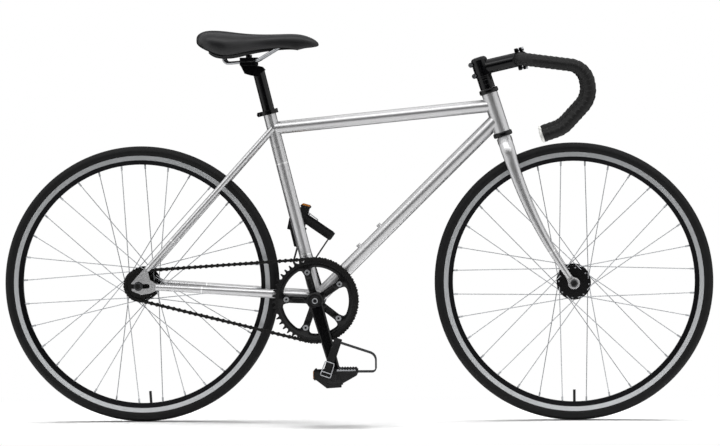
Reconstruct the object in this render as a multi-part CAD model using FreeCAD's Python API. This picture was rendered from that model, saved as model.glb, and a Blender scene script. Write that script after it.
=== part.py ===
import FreeCAD, Part
import math
import os
from FreeCAD import Rotation, Vector

# A small fixed gear bicycle. Origin on the ground midway between the axles.
# +X points forward, +Y to the rider's left, +Z up. All sizes in millimetres.

# Wheels
bead_seat_radius = 285.5
tyre_width = 25.0
tyre_seat_inset = 0.3
tyre_wall = 2.0
bead_width = 1.8
tube_wall = 1.0
rim_width = 19.0
rim_depth = 20.0
brake_track = 10.0
flange_height = 4.0
flange_wall = 1.8
rim_wall = 1.6
well_depth = 4.0
spoke_bed_half_width = 5.5
spoke_count = 32
spoke_radius = 1.0
spoke_head_radius = 1.9
spoke_head_length = 1.0
nipple_radius = 2.0
nipple_head_radius = 3.0
nipple_length = 13.0
valve_radius = 3.0
valve_reach = 27.0
rear_valve_angle = -86.5
front_valve_angle = -90.0

# Hubs and axles
hub_flange_radius = 38.0
hub_flange_width = 3.5
hub_barrel_radius = 14.0
spoke_circle_inset = 4.5
front_hub_width = 100.0
rear_hub_width = 120.0
front_flange_offset = 34.0
rear_left_flange_offset = 36.0
rear_right_flange_offset = 30.0
front_axle_radius = 4.5
rear_axle_radius = 5.0
cone_radius = 8.5
cone_length = 11.0
cone_reveal = 6.0
hub_end_radius = 12.5
axle_overhang = 4.0
nut_across_flats = 15.0
nut_height = 8.0
nut_washer_radius = 10.0
nut_washer_height = 2.5
running_clearance = 0.05
hub_bore_clearance = 1.0
cog_shoulder = 2.0

# Drive
chain_pitch = 12.7
chain_links = 94
chainring_teeth = 46
cog_teeth = 16
chain_line = 43.0
roller_radius = 3.87
roller_seat_clearance = 0.13
tooth_height = 3.9
tooth_tip_width = 2.2
tooth_thickness = 2.6
chain_inner_width = 3.3
chain_plate_thickness = 1.0
chain_plate_radius = 4.3
chain_plate_waist = 5.6
chain_plate_gap = 0.1
chain_pin_radius = 1.75
chain_pin_clearance = 0.05
chain_pin_rivet = 0.8
bolt_circle_radius = 65.0
chainring_band = 9.5
chainring_tab_radius = 9.0
chainring_tab_root = 17.0
chainring_bolt_radius = 5.0
chainring_bolt_head_radius = 6.2
chainring_bolt_head_height = 1.5
spider_thickness = 3.5
spider_arm_root = 19.0
spider_arm_tip = 15.0
spider_arms = 5
crank_length = 169.0
crank_angle = -74.2
crank_boss_radius = 19.0
crank_boss_width = 22.0
crank_root_width = 30.0
crank_tip_width = 22.0
crank_thickness = 12.0
crank_eye_radius = 13.5
crank_outer_offset = 71.0
spindle_radius = 8.5
spindle_square = 12.6
crank_bolt_radius = 4.0
crank_bolt_depth = 20.0
crank_cap_radius = 11.0
crank_cap_height = 3.0
hex_socket_radius = 4.5
socket_floor = 1.0
crank_boss_gap = 1.0
spindle_shoulder_gap = 0.6
spindle_clearance = 0.3
chainring_tab_lap = 2.0
lockring_radius = 21.0
lockring_thread_radius = 15.5
lockring_width = 4.5
cog_thread_radius = 17.0
cog_boss_radius = 23.0

# Frame
wheelbase = 969.0
bottom_bracket_drop = 35.5
seat_angle = 76.3
head_angle = 72.4
seat_tube_length = 436.0
seat_tube_radius = 14.3
top_tube_radius = 14.3
down_tube_radius = 15.9
head_tube_radius = 18.0
head_tube_length = 90.0
tube_wall_thickness = 1.1
top_tube_seat_height = 395.0
top_tube_head_height = 62.0
down_tube_head_height = 31.0
shell_radius = 20.0
shell_width = 68.0
shell_thread_radius = 17.4
cup_depth = 16.0
cup_flange = 3.0
cup_flange_radius = 19.5
dropout_thickness = 6.0
dropout_slot_clearance = 0.2
dropout_slot_reach = 20.0
chain_stay_front_height = 11.0
chain_stay_front_half_width = 8.0
chain_stay_rear_radius = 7.4
chain_stay_front_spread = 20.0
chain_stay_front_rise = 8.0
seat_stay_top_radius = 7.0
seat_stay_bottom_radius = 6.6
seat_stay_spread = 13.5
seat_stay_foot_ahead = 19.0
seat_stay_foot_rise = 37.0
chain_stay_foot_ahead = 38.0
chain_stay_foot_drop = 2.0
chain_stay_front_setback = 8.0
stay_wall = 1.0
stay_solid_end = 15.0
oval_margin = 0.01
brake_bridge_reach = 340.0
brake_bridge_radius = 6.0
brake_bolt_radius = 3.0
chain_bridge_reach = 336.0
chain_bridge_radius = 6.0
boss_radius = 5.0
boss_height = 6.0
boss_bore_radius = 2.5
boss_spacing = 64.0
boss_distance = 152.0
collar_radius = 20.5
collar_above_tube = 1.0
collar_height = 10.0
collar_ear_reach = 26.0
collar_ear_half_width = 8.0
collar_slit = 2.0
collar_bolt_radius = 2.5
collar_bolt_head_radius = 4.6
collar_bolt_head_height = 4.0
collar_bolt_socket = 4.0

# Steering
fork_length = 356.5
fork_rake = 48.0
bearing_gap = 0.3
headset_cup_height = 11.0
headset_cup_radius = 21.5
headset_cup_skirt = 12.0
headset_skirt_wall = 2.0
headset_cup_round = 3.3
steerer_radius = 14.3
steerer_wall = 1.8
steerer_recess = 3.0
steerer_floor = 4.0
crown_drop = 52.0
crown_arch_drop = 26.0
crown_outer_half_width = 43.0
crown_depth = 30.0
crown_shoulder = 15.6
crown_neck_margin = 2.5
crown_bow_out = 0.74
crown_bow_down = 0.3
blade_top_half_depth = 14.0
blade_top_half_width = 9.0
blade_tip_radius = 6.5
blade_top_spread = 33.5
blade_end_height = 16.0
blade_wall = 1.2
blade_steps = 6
blade_curve = 2.2
fork_end_thickness = 5.0
fork_end_radius = 13.0
fork_tab_height = 14.0
fork_tab_inset = 1.0
fork_tab_flare = 1.5
fork_end_foot = 11.7
spacer_radius = 17.0
spacer_heights = [10.0, 10.0, 5.0, 3.0]
top_cap_height = 5.0
top_cap_round = 2.0
top_cap_floor = 1.0
top_cap_plug = 20.0
stem_clamp_height = 40.0
stem_clamp_radius = 18.5
stem_length = 90.0
stem_drop_angle = 5.0
stem_tube_radius = 16.0
stem_bolt_radius = 2.5
stem_bolt_head_radius = 4.3
stem_bolt_head_height = 4.5
stem_ear_reach = 24.5
stem_ear_half_width = 10.0
stem_slit = 2.0
stem_bolt_spacing = 26.0
bar_clamp_width = 44.0
bar_clamp_wall = 6.0
bar_clamp_gap = 2.0
bar_clamp_ear = 6.0
bar_clamp_bolt_height = 20.5
bar_clamp_bolt_spacing = 28.0

# Handlebar
bar_radius = 11.9
bar_wall = 1.9
bar_half_width = 195.0
bar_top_bend = 50.0
tape_thickness = 2.0
tape_start = 58.0
plug_depth = 18.0
plug_head = 3.0

# Seat
post_radius = 13.6
post_wall = 2.4
post_insertion = 140.0
post_head_drop = 23.0
post_solid_top = 20.0
saddle_height = 549.0
saddle_setback = 16.0
rail_radius = 3.5
rail_spread = 22.0
rail_nose_spread = 12.0
clamp_length = 36.0
clamp_half_width = 30.0
clamp_jaw = 8.0
clamp_half_gap = 1.0
clamp_bolt_reach = 19.2
clamp_bolt_radius = 4.0
clamp_bolt_head_radius = 7.0
clamp_bolt_head_height = 6.0
saddle_padding = 9.0
saddle_base_thickness = 3.0
saddle_pocket = 10.0

# Pedals
pedal_width = 62.0
pedal_inner_gap = 5.0
pedal_axle_radius = 6.0
pedal_thread_radius = 7.0
pedal_flange_radius = 9.0
pedal_flange_width = 3.0
pedal_front = 50.0
pedal_rear = 42.0
pedal_top = 14.0
pedal_bottom = 24.0
pedal_rail = 8.0
pedal_barrel_half = 14.0
pedal_keel_half = 16.0
pedal_axle_short = 6.0
pedal_bore_spare = 0.5
pedal_edge_step = 2.0
pedal_rear_foot = 4.0
pedal_keel_step = 15.0
pedal_front_lip = 4.0
clip_thickness = 3.0
clip_width = 24.0
clip_reach = 91.0
clip_top = 75.0
clip_fall = 27.0
clip_tail = 10.0
clip_seat_drop = 4.0
clip_foot_bend = 8.0
clip_toe_bend = 18.0
strap_width = 16.0
strap_thickness = 2.0
strap_tilt = 19.0
strap_top = 84.0
strap_under = 4.0
strap_setback = 20.0
strap_bend = 9.0
strap_slack = 0.4
buckle_width = 25.0
buckle_height = 27.0
buckle_bar = 3.5
buckle_thickness = 3.0
left_pedal_turn = 106.0

# Derived places
rim_radius = bead_seat_radius + flange_height
rim_inner_radius = rim_radius - rim_depth
tyre_half = tyre_width / 2
tyre_seat_half = rim_width / 2 - tyre_seat_inset
tyre_centre_radius = rim_radius + math.sqrt(tyre_half ** 2 - tyre_seat_half ** 2)
wheel_radius = tyre_centre_radius + tyre_half
spoke_circle = hub_flange_radius - spoke_circle_inset
ring_pitch_radius = chain_pitch / (2 * math.sin(math.pi / chainring_teeth))
cog_pitch_radius = chain_pitch / (2 * math.sin(math.pi / cog_teeth))

side = Vector(0, 1, 0)


def polar(centre, radius, degrees, y=0.0):
    """A point on a circle in the wheel plane, its angle from +X towards +Z."""
    turn = math.radians(degrees)
    return Vector(centre.x + radius * math.cos(turn), y, centre.z + radius * math.sin(turn))


def rod(start, end, radius):
    run = end - start
    return Part.makeCylinder(radius, run.Length, start, run)


def pipe(start, end, outer, inner):
    return rod(start, end, outer).cut(rod(start, end, inner))


def across(centre, y0, y1, radius):
    """A round bar along Y about a point in the wheel plane."""
    return rod(Vector(centre.x, y0, centre.z), Vector(centre.x, y1, centre.z), radius)


def turned(centre, outline):
    """A closed outline of (y, radius) pairs turned about the axle line."""
    points = [Vector(centre.x, y, centre.z + r) for y, r in outline]
    face = Part.Face(Part.makePolygon(points + points[:1]))
    return face.revolve(Vector(centre.x, 0, centre.z), side, 360)


def plate(origin, outline, y0, y1):
    """An outline of (x, z) pairs about a point, given thickness along Y."""
    points = [Vector(origin.x + x, y0, origin.z + z) for x, z in outline]
    return Part.Face(Part.makePolygon(points + points[:1])).extrude(side * (y1 - y0))


def bent_path(points, radii):
    """Straight runs joined by tangent arcs, with one radius for each inner point."""
    edges = []
    start = points[0]
    for before, corner, after, radius in zip(points, points[1:], points[2:], radii):
        back = (before - corner).normalize()
        ahead = (after - corner).normalize()
        half_turn = (math.pi - back.getAngle(ahead)) / 2
        bisector = (back + ahead).normalize()
        centre = corner + bisector * (radius / math.cos(half_turn))
        first = corner + back * (radius * math.tan(half_turn))
        last = corner + ahead * (radius * math.tan(half_turn))
        edges.append(Part.makeLine(start, first))
        edges.append(Part.Arc(first, centre - bisector * radius, last).toShape())
        start = last
    edges.append(Part.makeLine(start, points[-1]))
    return Part.Wire(edges)


def swept_rod(points, radii, radius):
    path = bent_path(points, radii)
    ring = Part.Wire(Part.makeCircle(radius, points[0], points[1] - points[0]))
    return path.makePipeShell([ring], True, False)


def oval(centre, depth_axis, width_axis, half_depth, half_width):
    curve = Part.Ellipse(centre + depth_axis * half_depth, centre + width_axis * half_width, centre)
    return Part.Wire(curve.toShape())


def taper(start, end, start_radius, end_radius):
    """A round bar whose radius changes evenly from one end to the other."""
    run = end - start
    rings = [Part.Wire(Part.makeCircle(radius, spot, run))
             for radius, spot in ((start_radius, start), (end_radius, end))]
    return Part.makeLoft(rings, True, True)


def mirrored(shape):
    """The same piece on the other side of the wheel plane."""
    return shape.mirror(Vector(0, 0, 0), side)


def hex_bar(centre, y0, y1, across_flats):
    corner = across_flats / math.sqrt(3)
    points = [(corner * math.cos(k * math.pi / 3), corner * math.sin(k * math.pi / 3)) for k in range(6)]
    return plate(centre, points, y0, y1)


def save(name, *solids):
    shape = solids[0] if len(solids) == 1 else Part.makeCompound(list(solids))
    shape.exportStep("parts/" + name + ".step")


def chain_length(distance):
    """Length of a tight chain round both sprockets at a given centre distance."""
    lean = math.asin((ring_pitch_radius - cog_pitch_radius) / distance)
    ring_share = chainring_teeth * (math.pi + 2 * lean) / (2 * math.pi)
    cog_share = cog_teeth * (math.pi - 2 * lean) / (2 * math.pi)
    return 2 * distance * math.cos(lean) + chain_pitch * (ring_share + cog_share)


def solve_chain_stay():
    """The centre distance at which the whole number of links is just tight."""
    near = ring_pitch_radius + cog_pitch_radius
    far = chain_links * chain_pitch
    for step in range(60):
        middle = (near + far) / 2
        if chain_length(middle) < chain_links * chain_pitch:
            near = middle
        else:
            far = middle
    return near


chain_stay_length = solve_chain_stay()
rear = Vector(-wheelbase / 2, 0, wheel_radius)
front = Vector(wheelbase / 2, 0, wheel_radius)
bracket = Vector(rear.x + math.sqrt(chain_stay_length ** 2 - bottom_bracket_drop ** 2), 0,
                 wheel_radius - bottom_bracket_drop)

seat_lean = math.radians(seat_angle)
head_lean = math.radians(head_angle)
seat_up = Vector(-math.cos(seat_lean), 0, math.sin(seat_lean))
seat_ahead = Vector(math.sin(seat_lean), 0, math.cos(seat_lean))
steer_up = Vector(-math.cos(head_lean), 0, math.sin(head_lean))
steer_ahead = Vector(math.sin(head_lean), 0, math.cos(head_lean))
steer_base = Vector(front.x - fork_rake / math.sin(head_lean), 0, wheel_radius)
# The axle lies ahead of the axis by the rake, and a little up along the axis from steer_base
axle_rise = (front - steer_base).dot(steer_up)


def seat_point(height, ahead=0.0, y=0.0):
    """A point measured up the seat tube from the bottom bracket."""
    return bracket + seat_up * height + seat_ahead * ahead + side * y


def steer_point(height, ahead=0.0, y=0.0):
    """A point measured up the steering axis from the front axle's level."""
    return steer_base + steer_up * (height + axle_rise) + steer_ahead * ahead + side * y


head_bottom = fork_length + headset_cup_height
head_top = head_bottom + head_tube_length
spacer_bottom = head_top + headset_cup_height
stem_bottom = spacer_bottom + bearing_gap + sum(spacer_heights)
steerer_top = stem_bottom + stem_clamp_height


def chain_points():
    """Roller centres round the ring and the cog, and the first roller's angle on each."""
    to_cog = math.degrees(math.atan2(rear.z - bracket.z, rear.x - bracket.x))
    lean = math.degrees(math.asin((ring_pitch_radius - cog_pitch_radius) / chain_stay_length))
    span = chain_stay_length * math.cos(math.radians(lean))
    ring_arc = chainring_teeth * chain_pitch * (180 + 2 * lean) / 360
    cog_arc = cog_teeth * chain_pitch * (180 - 2 * lean) / 360
    top_angle = to_cog - 90 + lean
    ring_top = polar(bracket, ring_pitch_radius, top_angle)
    cog_top = polar(rear, cog_pitch_radius, top_angle)
    low_angle = to_cog + 90 - lean
    ring_low = polar(bracket, ring_pitch_radius, low_angle)
    cog_low = polar(rear, cog_pitch_radius, low_angle)
    points = []
    ring_phase = None
    cog_phase = None
    for link in range(chain_links):
        run = link * chain_pitch
        if run < ring_arc:
            turn = low_angle + 360 / chainring_teeth * run / chain_pitch
            points.append(polar(bracket, ring_pitch_radius, turn))
            ring_phase = turn if ring_phase is None else ring_phase
        elif run < ring_arc + span:
            points.append(ring_top + (cog_top - ring_top) * ((run - ring_arc) / span))
        elif run < ring_arc + span + cog_arc:
            turn = top_angle + 360 / cog_teeth * (run - ring_arc - span) / chain_pitch
            points.append(polar(rear, cog_pitch_radius, turn))
            cog_phase = turn if cog_phase is None else cog_phase
        else:
            points.append(cog_low + (ring_low - cog_low) * ((run - ring_arc - span - cog_arc) / span))
    return points, ring_phase, cog_phase


chain_rollers, ring_phase, cog_phase = chain_points()


def sprocket(centre, teeth, phase):
    """A toothed disc about the chain line, with a roller seat at the phase angle."""
    pitch_radius = chain_pitch / (2 * math.sin(math.pi / teeth))
    seat = roller_radius + roller_seat_clearance
    tip_radius = pitch_radius + tooth_height
    tip_half = math.pi * tip_radius / teeth - tooth_tip_width / 2
    y0 = -chain_line - tooth_thickness / 2
    edges = []
    first = None
    last = None
    for tooth in range(teeth):
        turn = math.radians(phase + 360 * tooth / teeth)
        outward = Vector(math.cos(turn), 0, math.sin(turn))
        along = Vector(-math.sin(turn), 0, math.cos(turn))
        base = Vector(centre.x, y0, centre.z)
        tip_in = base + outward * tip_radius - along * tip_half
        seat_in = base + outward * pitch_radius - along * seat
        seat_bottom = base + outward * (pitch_radius - seat)
        seat_out = base + outward * pitch_radius + along * seat
        tip_out = base + outward * tip_radius + along * tip_half
        if last is None:
            first = tip_in
        else:
            edges.append(Part.makeLine(last, tip_in))
        edges.append(Part.makeLine(tip_in, seat_in))
        edges.append(Part.Arc(seat_in, seat_bottom, seat_out).toShape())
        edges.append(Part.makeLine(seat_out, tip_out))
        last = tip_out
    edges.append(Part.makeLine(last, first))
    return Part.Face(Part.Wire(edges)).extrude(side * tooth_thickness)


def chain_link(width, thickness, barrel_radius, bore_radius, barrel_half):
    """Two waisted plates joined by two round barrels, centred on the origin along X."""
    half = chain_pitch / 2
    solids = []
    for y0 in (width / 2, -width / 2 - thickness):
        for x in (-half, half):
            solids.append(across(Vector(x, 0, 0), y0, y0 + thickness, chain_plate_radius))
        bar = Part.makeBox(chain_pitch, thickness, chain_plate_waist,
                           Vector(-half, y0, -chain_plate_waist / 2))
        solids.append(bar)
    for x in (-half, half):
        solids.append(across(Vector(x, 0, 0), -barrel_half, barrel_half, barrel_radius))
    link = solids[0].multiFuse(solids[1:]).removeSplitter()
    if bore_radius > 0:
        for x in (-half, half):
            link = link.cut(across(Vector(x, 0, 0), -chain_line, chain_line, bore_radius))
    return link


def make_chain():
    outer_gap = chain_inner_width + 2 * (chain_plate_thickness + chain_plate_gap)
    pin_half = outer_gap / 2 + chain_plate_thickness + chain_pin_rivet
    inner = chain_link(chain_inner_width, chain_plate_thickness, roller_radius,
                       chain_pin_radius + chain_pin_clearance, chain_inner_width / 2)
    outer = chain_link(outer_gap, chain_plate_thickness, chain_pin_radius, 0, pin_half)
    groups = ([], [])
    for number, here in enumerate(chain_rollers):
        ahead = chain_rollers[(number + 1) % chain_links]
        run = ahead - here
        middle = (here + ahead) * 0.5 - side * chain_line
        turn = Rotation(side, -math.degrees(math.atan2(run.z, run.x)))
        link = (inner if number % 2 == 0 else outer).copy()
        link.Placement = FreeCAD.Placement(middle, turn)
        groups[number % 2].append(link)
    save("chain_inner_links", *groups[0])
    save("chain_outer_links", *groups[1])


def make_wheel(name, centre, hub_left, hub_right, valve_angle):
    """Tyre, tube, rim and spokes of one wheel. Returns the spokes for drilling the hub."""
    half = rim_width / 2
    inside = half - flange_wall
    ledge = inside - bead_width
    track_end = rim_radius - brake_track
    well = bead_seat_radius - well_depth
    outline = [(half, rim_radius), (half, track_end), (spoke_bed_half_width, rim_inner_radius),
               (-spoke_bed_half_width, rim_inner_radius), (-half, track_end), (-half, rim_radius),
               (-inside, rim_radius), (-inside, bead_seat_radius), (-ledge, bead_seat_radius),
               (-ledge, well), (ledge, well), (ledge, bead_seat_radius), (inside, bead_seat_radius),
               (inside, rim_radius)]
    hollow_top = well - rim_wall
    bed_inside = spoke_bed_half_width - rim_wall / 2
    side_inside = half - rim_wall
    bed_level = rim_inner_radius + rim_wall
    hollow = [(side_inside, hollow_top), (side_inside, track_end), (bed_inside, bed_level),
              (-bed_inside, bed_level), (-side_inside, track_end), (-side_inside, hollow_top)]
    rim = turned(centre, outline).cut(turned(centre, hollow))

    def at(y, radius):
        return Vector(centre.x, y, centre.z + radius)

    cavity = tyre_half - tyre_wall
    cavity_half = math.sqrt(cavity ** 2 - (tyre_centre_radius - rim_radius) ** 2)
    tread = Part.Arc(at(tyre_seat_half, rim_radius), at(0, wheel_radius), at(-tyre_seat_half, rim_radius))
    crest = at(0, tyre_centre_radius + cavity)
    lining = Part.Arc(at(-cavity_half, rim_radius), crest, at(cavity_half, rim_radius))
    right = Part.makePolygon([at(-tyre_seat_half, rim_radius), at(-inside, rim_radius),
                              at(-inside, bead_seat_radius), at(-ledge, bead_seat_radius),
                              at(-cavity_half, rim_radius)])
    left = Part.makePolygon([at(cavity_half, rim_radius), at(ledge, bead_seat_radius),
                             at(inside, bead_seat_radius), at(inside, rim_radius),
                             at(tyre_seat_half, rim_radius)])
    loop = Part.Wire([tread.toShape()] + right.Edges + [lining.toShape()] + left.Edges)
    axle_point = Vector(centre.x, 0, centre.z)
    tyre = Part.Face(loop).revolve(axle_point, side, 360)

    base_line = Part.makeLine(at(cavity_half, rim_radius), at(-cavity_half, rim_radius))
    tube = Part.Face(Part.Wire([lining.toShape(), base_line])).revolve(axle_point, side, 360)
    air = cavity - tube_wall
    air_floor = rim_radius + tube_wall
    air_half = math.sqrt(air ** 2 - (tyre_centre_radius - air_floor) ** 2)
    roof = Part.Arc(at(-air_half, air_floor), at(0, tyre_centre_radius + air), at(air_half, air_floor))
    floor_line = Part.makeLine(at(air_half, air_floor), at(-air_half, air_floor))
    tube = tube.cut(Part.Face(Part.Wire([roof.toShape(), floor_line])).revolve(axle_point, side, 360))
    valve = rod(polar(centre, rim_radius + tube_wall / 2, valve_angle),
                polar(centre, rim_inner_radius - valve_reach, valve_angle), valve_radius)
    tube = tube.fuse(valve).removeSplitter()

    spokes = []
    nipples = []
    sockets = []
    per_flange = spoke_count // 2
    hole_step = 360 / per_flange
    swing = 3 * hole_step
    start = valve_angle + hole_step / 4
    bed = rim_inner_radius + rim_wall
    for flange, offset in ((hub_left, 0.0), (-hub_right, hole_step / 2)):
        outward = 1 if flange > 0 else -1
        for hole in range(per_flange):
            leading = 1 if hole % 2 == 0 else -1
            hole_angle = start + offset + hole * hole_step
            run_side = outward * leading
            run_offset = hub_flange_width / 2 + spoke_radius
            elbow = polar(centre, spoke_circle, hole_angle, flange + run_side * run_offset)
            head = polar(centre, spoke_circle, hole_angle,
                         flange - run_side * (hub_flange_width / 2 + spoke_head_length))
            rim_angle = hole_angle + leading * swing
            seat = polar(centre, bed, rim_angle)
            line = (seat - elbow).normalize()
            wire = rod(elbow, seat, spoke_radius)
            bend = Part.makeSphere(spoke_radius, elbow)
            shank = rod(elbow, head, spoke_radius)
            button = rod(head, head + side * (run_side * spoke_head_length), spoke_head_radius)
            spokes.append(wire.multiFuse([bend, shank, button]))
            body = rod(seat - line * (nipple_length - rim_wall), seat, nipple_radius)
            cap = rod(seat, seat + line * rim_wall, nipple_head_radius)
            sockets.append(body.fuse(cap))
            nipples.append(sockets[-1].cut(rod(elbow, seat, spoke_radius)))
    rim = rim.cut(Part.makeCompound(sockets)).cut(valve)
    save(name + "_rim", rim)
    save(name + "_tyre", tyre)
    save(name + "_inner_tube", tube)
    save(name + "_spokes", *spokes, *nipples)
    return spokes


def make_axle(name, centre, radius, hub_width, end_thickness):
    """Axle with its cones, and the nuts outside the frame or fork ends."""
    end_face = hub_width / 2 + end_thickness
    tip = end_face + nut_washer_height + nut_height + axle_overhang
    axle = across(centre, -tip, tip, radius)
    nuts = []
    for y_sign in (1, -1):
        cone_end = hub_width / 2
        axle = axle.fuse(across(centre, y_sign * (cone_end - cone_length), y_sign * cone_end, cone_radius))
        washer_end = end_face + nut_washer_height
        washer = across(centre, y_sign * end_face, y_sign * washer_end, nut_washer_radius)
        body = hex_bar(centre, y_sign * washer_end, y_sign * (washer_end + nut_height), nut_across_flats)
        nuts.append(washer.fuse(body).cut(across(centre, -tip, tip, radius)).removeSplitter())
    save(name + "_axle", axle.removeSplitter())
    save(name + "_axle_nuts", *nuts)


def hub_body(centre, hub_width, flanges, bore):
    """Barrel, flanges and bearing ends, with a clear bore over the axle."""
    end = hub_width / 2 - cone_reveal
    hub = across(centre, -end, end, hub_end_radius)
    hub = hub.fuse(across(centre, flanges[0], flanges[1], hub_barrel_radius))
    for y in flanges:
        half = hub_flange_width / 2
        hub = hub.fuse(across(centre, y - half, y + half, hub_flange_radius))
    hub = hub.cut(across(centre, -end, end, bore))
    for y_sign in (1, -1):
        race = hub_width / 2 - cone_length - running_clearance
        hub = hub.cut(across(centre, y_sign * race, y_sign * end, cone_radius + running_clearance))
    return hub


def make_front_hub(spokes):
    bore = front_axle_radius + hub_bore_clearance
    hub = hub_body(front, front_hub_width, (-front_flange_offset, front_flange_offset), bore)
    save("front_hub", hub.cut(Part.makeCompound(spokes)).removeSplitter())


def make_rear_hub(spokes):
    bore = rear_axle_radius + hub_bore_clearance
    hub = hub_body(rear, rear_hub_width, (-rear_right_flange_offset, rear_left_flange_offset), bore)
    cog_inner = -chain_line + tooth_thickness / 2
    cog_outer = -chain_line - tooth_thickness / 2
    shoulder = cog_inner + cog_shoulder
    lock_end = cog_outer - lockring_width
    carrier = across(rear, -rear_right_flange_offset, cog_outer, cog_thread_radius)
    carrier = carrier.fuse(across(rear, cog_outer, lock_end, lockring_thread_radius))
    carrier = carrier.fuse(across(rear, -rear_right_flange_offset, shoulder, cog_boss_radius))
    end = rear_hub_width / 2 - cone_reveal
    race = rear_hub_width / 2 - cone_length - running_clearance
    carrier = carrier.cut(across(rear, -end, end, bore))
    carrier = carrier.cut(across(rear, -race, -end, cone_radius + running_clearance))
    hub = hub.fuse(carrier).cut(Part.makeCompound(spokes)).removeSplitter()
    save("rear_hub", hub)

    cog = sprocket(rear, cog_teeth, cog_phase)
    cog = cog.fuse(across(rear, shoulder, cog_inner, cog_boss_radius))
    save("cog", cog.cut(across(rear, shoulder, cog_outer, cog_thread_radius)).removeSplitter())

    lockring = across(rear, cog_outer, lock_end, lockring_radius)
    lockring = lockring.cut(across(rear, cog_outer, lock_end, lockring_thread_radius))
    notch = lockring_radius - lockring_thread_radius
    for turn in (45, 135, 225, 315):
        spot = polar(rear, lockring_radius, turn)
        lockring = lockring.cut(across(spot, cog_outer, lock_end, notch / 2))
    save("lockring", lockring)


# Frame tube axes, from joint to joint
seat_joint = seat_point(top_tube_seat_height)
top_joint = steer_point(head_bottom + top_tube_head_height)
down_joint = steer_point(head_bottom + down_tube_head_height)
seat_top = seat_point(seat_tube_length)

# Solid cylinders that the mitred ends are cut to
shell_core = across(bracket, -shell_width / 2, shell_width / 2, shell_radius)
seat_core = rod(bracket, seat_top, seat_tube_radius)
head_core = rod(steer_point(head_bottom), steer_point(head_top), head_tube_radius)
top_core = rod(seat_joint, top_joint, top_tube_radius)


def make_front_triangle():
    bore = headset_bore()
    head_tube = pipe(steer_point(head_bottom), steer_point(head_top), head_tube_radius, bore)
    save("head_tube", head_tube)
    top_tube = pipe(seat_joint, top_joint, top_tube_radius, top_tube_radius - tube_wall_thickness)
    save("top_tube", top_tube.cut(seat_core).cut(head_core))
    down_tube = pipe(bracket, down_joint, down_tube_radius, down_tube_radius - tube_wall_thickness)
    for core in (shell_core, seat_core, head_core, top_core):
        down_tube = down_tube.cut(core)
    bosses = []
    run = (down_joint - bracket).normalize()
    normal = Vector(-run.z, 0, run.x)
    for step in (0, 1):
        foot = bracket + run * (boss_distance + step * boss_spacing)
        top = foot + normal * (down_tube_radius + boss_height)
        inner = foot + normal * (down_tube_radius - tube_wall_thickness - boss_height)
        boss = rod(inner, top, boss_radius)
        down_tube = down_tube.cut(boss)
        bosses.append(boss.cut(rod(inner, top, boss_bore_radius)))
    largest = max(down_tube.Solids, key=lambda solid: solid.Volume)
    save("down_tube", largest)
    save("bottle_bosses", *bosses)
    seat_tube = pipe(bracket, seat_top, seat_tube_radius, post_radius + running_clearance).cut(shell_core)
    save("seat_tube", max(seat_tube.Solids, key=lambda solid: solid.Volume))
    thread = across(bracket, -shell_width, shell_width, shell_thread_radius)
    save("bottom_bracket_shell", shell_core.cut(thread))


def headset_bore():
    """Inner radius of the head tube, over the steerer and the cup skirts."""
    return steerer_radius + running_clearance + headset_skirt_wall


# Track end outline ahead of and above the rear axle, with a tab for each stay
dropout_outline = [(-16.0, 7.0), (14.0, 40.0), (24.0, 51.0), (31.0, 45.0), (22.0, 31.0), (26.0, 14.0),
                   (40.0, 5.0), (60.0, 3.5), (60.0, -7.0), (42.0, -9.0), (26.0, -16.0), (6.0, -19.0),
                   (-15.0, -10.0)]


def dropout(y_sign):
    """A rear-facing track end plate with tabs that enter the stays."""
    inner = rear_hub_width / 2
    plate_body = plate(rear, dropout_outline, y_sign * inner, y_sign * (inner + dropout_thickness))
    half_slot = rear_axle_radius + dropout_slot_clearance
    slot_end = rear + Vector(dropout_slot_reach, 0, 0)
    slot = Part.makeBox(dropout_slot_reach * 2, rear_hub_width * 2, half_slot * 2,
                        Vector(slot_end.x - dropout_slot_reach * 2, -rear_hub_width, rear.z - half_slot))
    slot = slot.fuse(across(slot_end, -rear_hub_width, rear_hub_width, half_slot))
    return plate_body.cut(slot)


stay_line = rear_hub_width / 2 + dropout_thickness / 2


def chain_stay_ends(y_sign):
    """The chain stay's axis points at the shell and at the track end."""
    shell_end = Vector(-chain_stay_front_setback, y_sign * chain_stay_front_spread, chain_stay_front_rise)
    plate_end = Vector(chain_stay_foot_ahead, y_sign * stay_line, -chain_stay_foot_drop)
    return bracket + shell_end, rear + plate_end


def seat_stay_ends(y_sign):
    """The seat stay's axis points at the track end and at the seat tube."""
    plate_end = Vector(seat_stay_foot_ahead, y_sign * stay_line, seat_stay_foot_rise)
    return rear + plate_end, seat_joint + side * (y_sign * seat_stay_spread)


def chain_stay_form(y_sign, wall, solid_end):
    """An oval bar that gets rounder to the rear, inside the stay by a wall and short of its rear end."""
    shell_end, plate_end = chain_stay_ends(y_sign)
    run = (plate_end - shell_end).normalize()
    flat = run.cross(Vector(0, 0, 1)).normalize()
    upright = flat.cross(run)
    tip = chain_stay_rear_radius - wall
    near = oval(shell_end, upright, flat, chain_stay_front_height - wall, chain_stay_front_half_width - wall)
    far = oval(plate_end - run * solid_end, upright, flat, tip, tip - oval_margin)
    return Part.makeLoft([near, far], True, True)


def seat_stay_form(y_sign, wall, solid_end):
    """A round bar that swells upwards, inside the stay by a wall and short of its lower end."""
    low, high = seat_stay_ends(y_sign)
    run = (high - low).normalize()
    return taper(low + run * solid_end, high, seat_stay_bottom_radius - wall, seat_stay_top_radius - wall)


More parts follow.
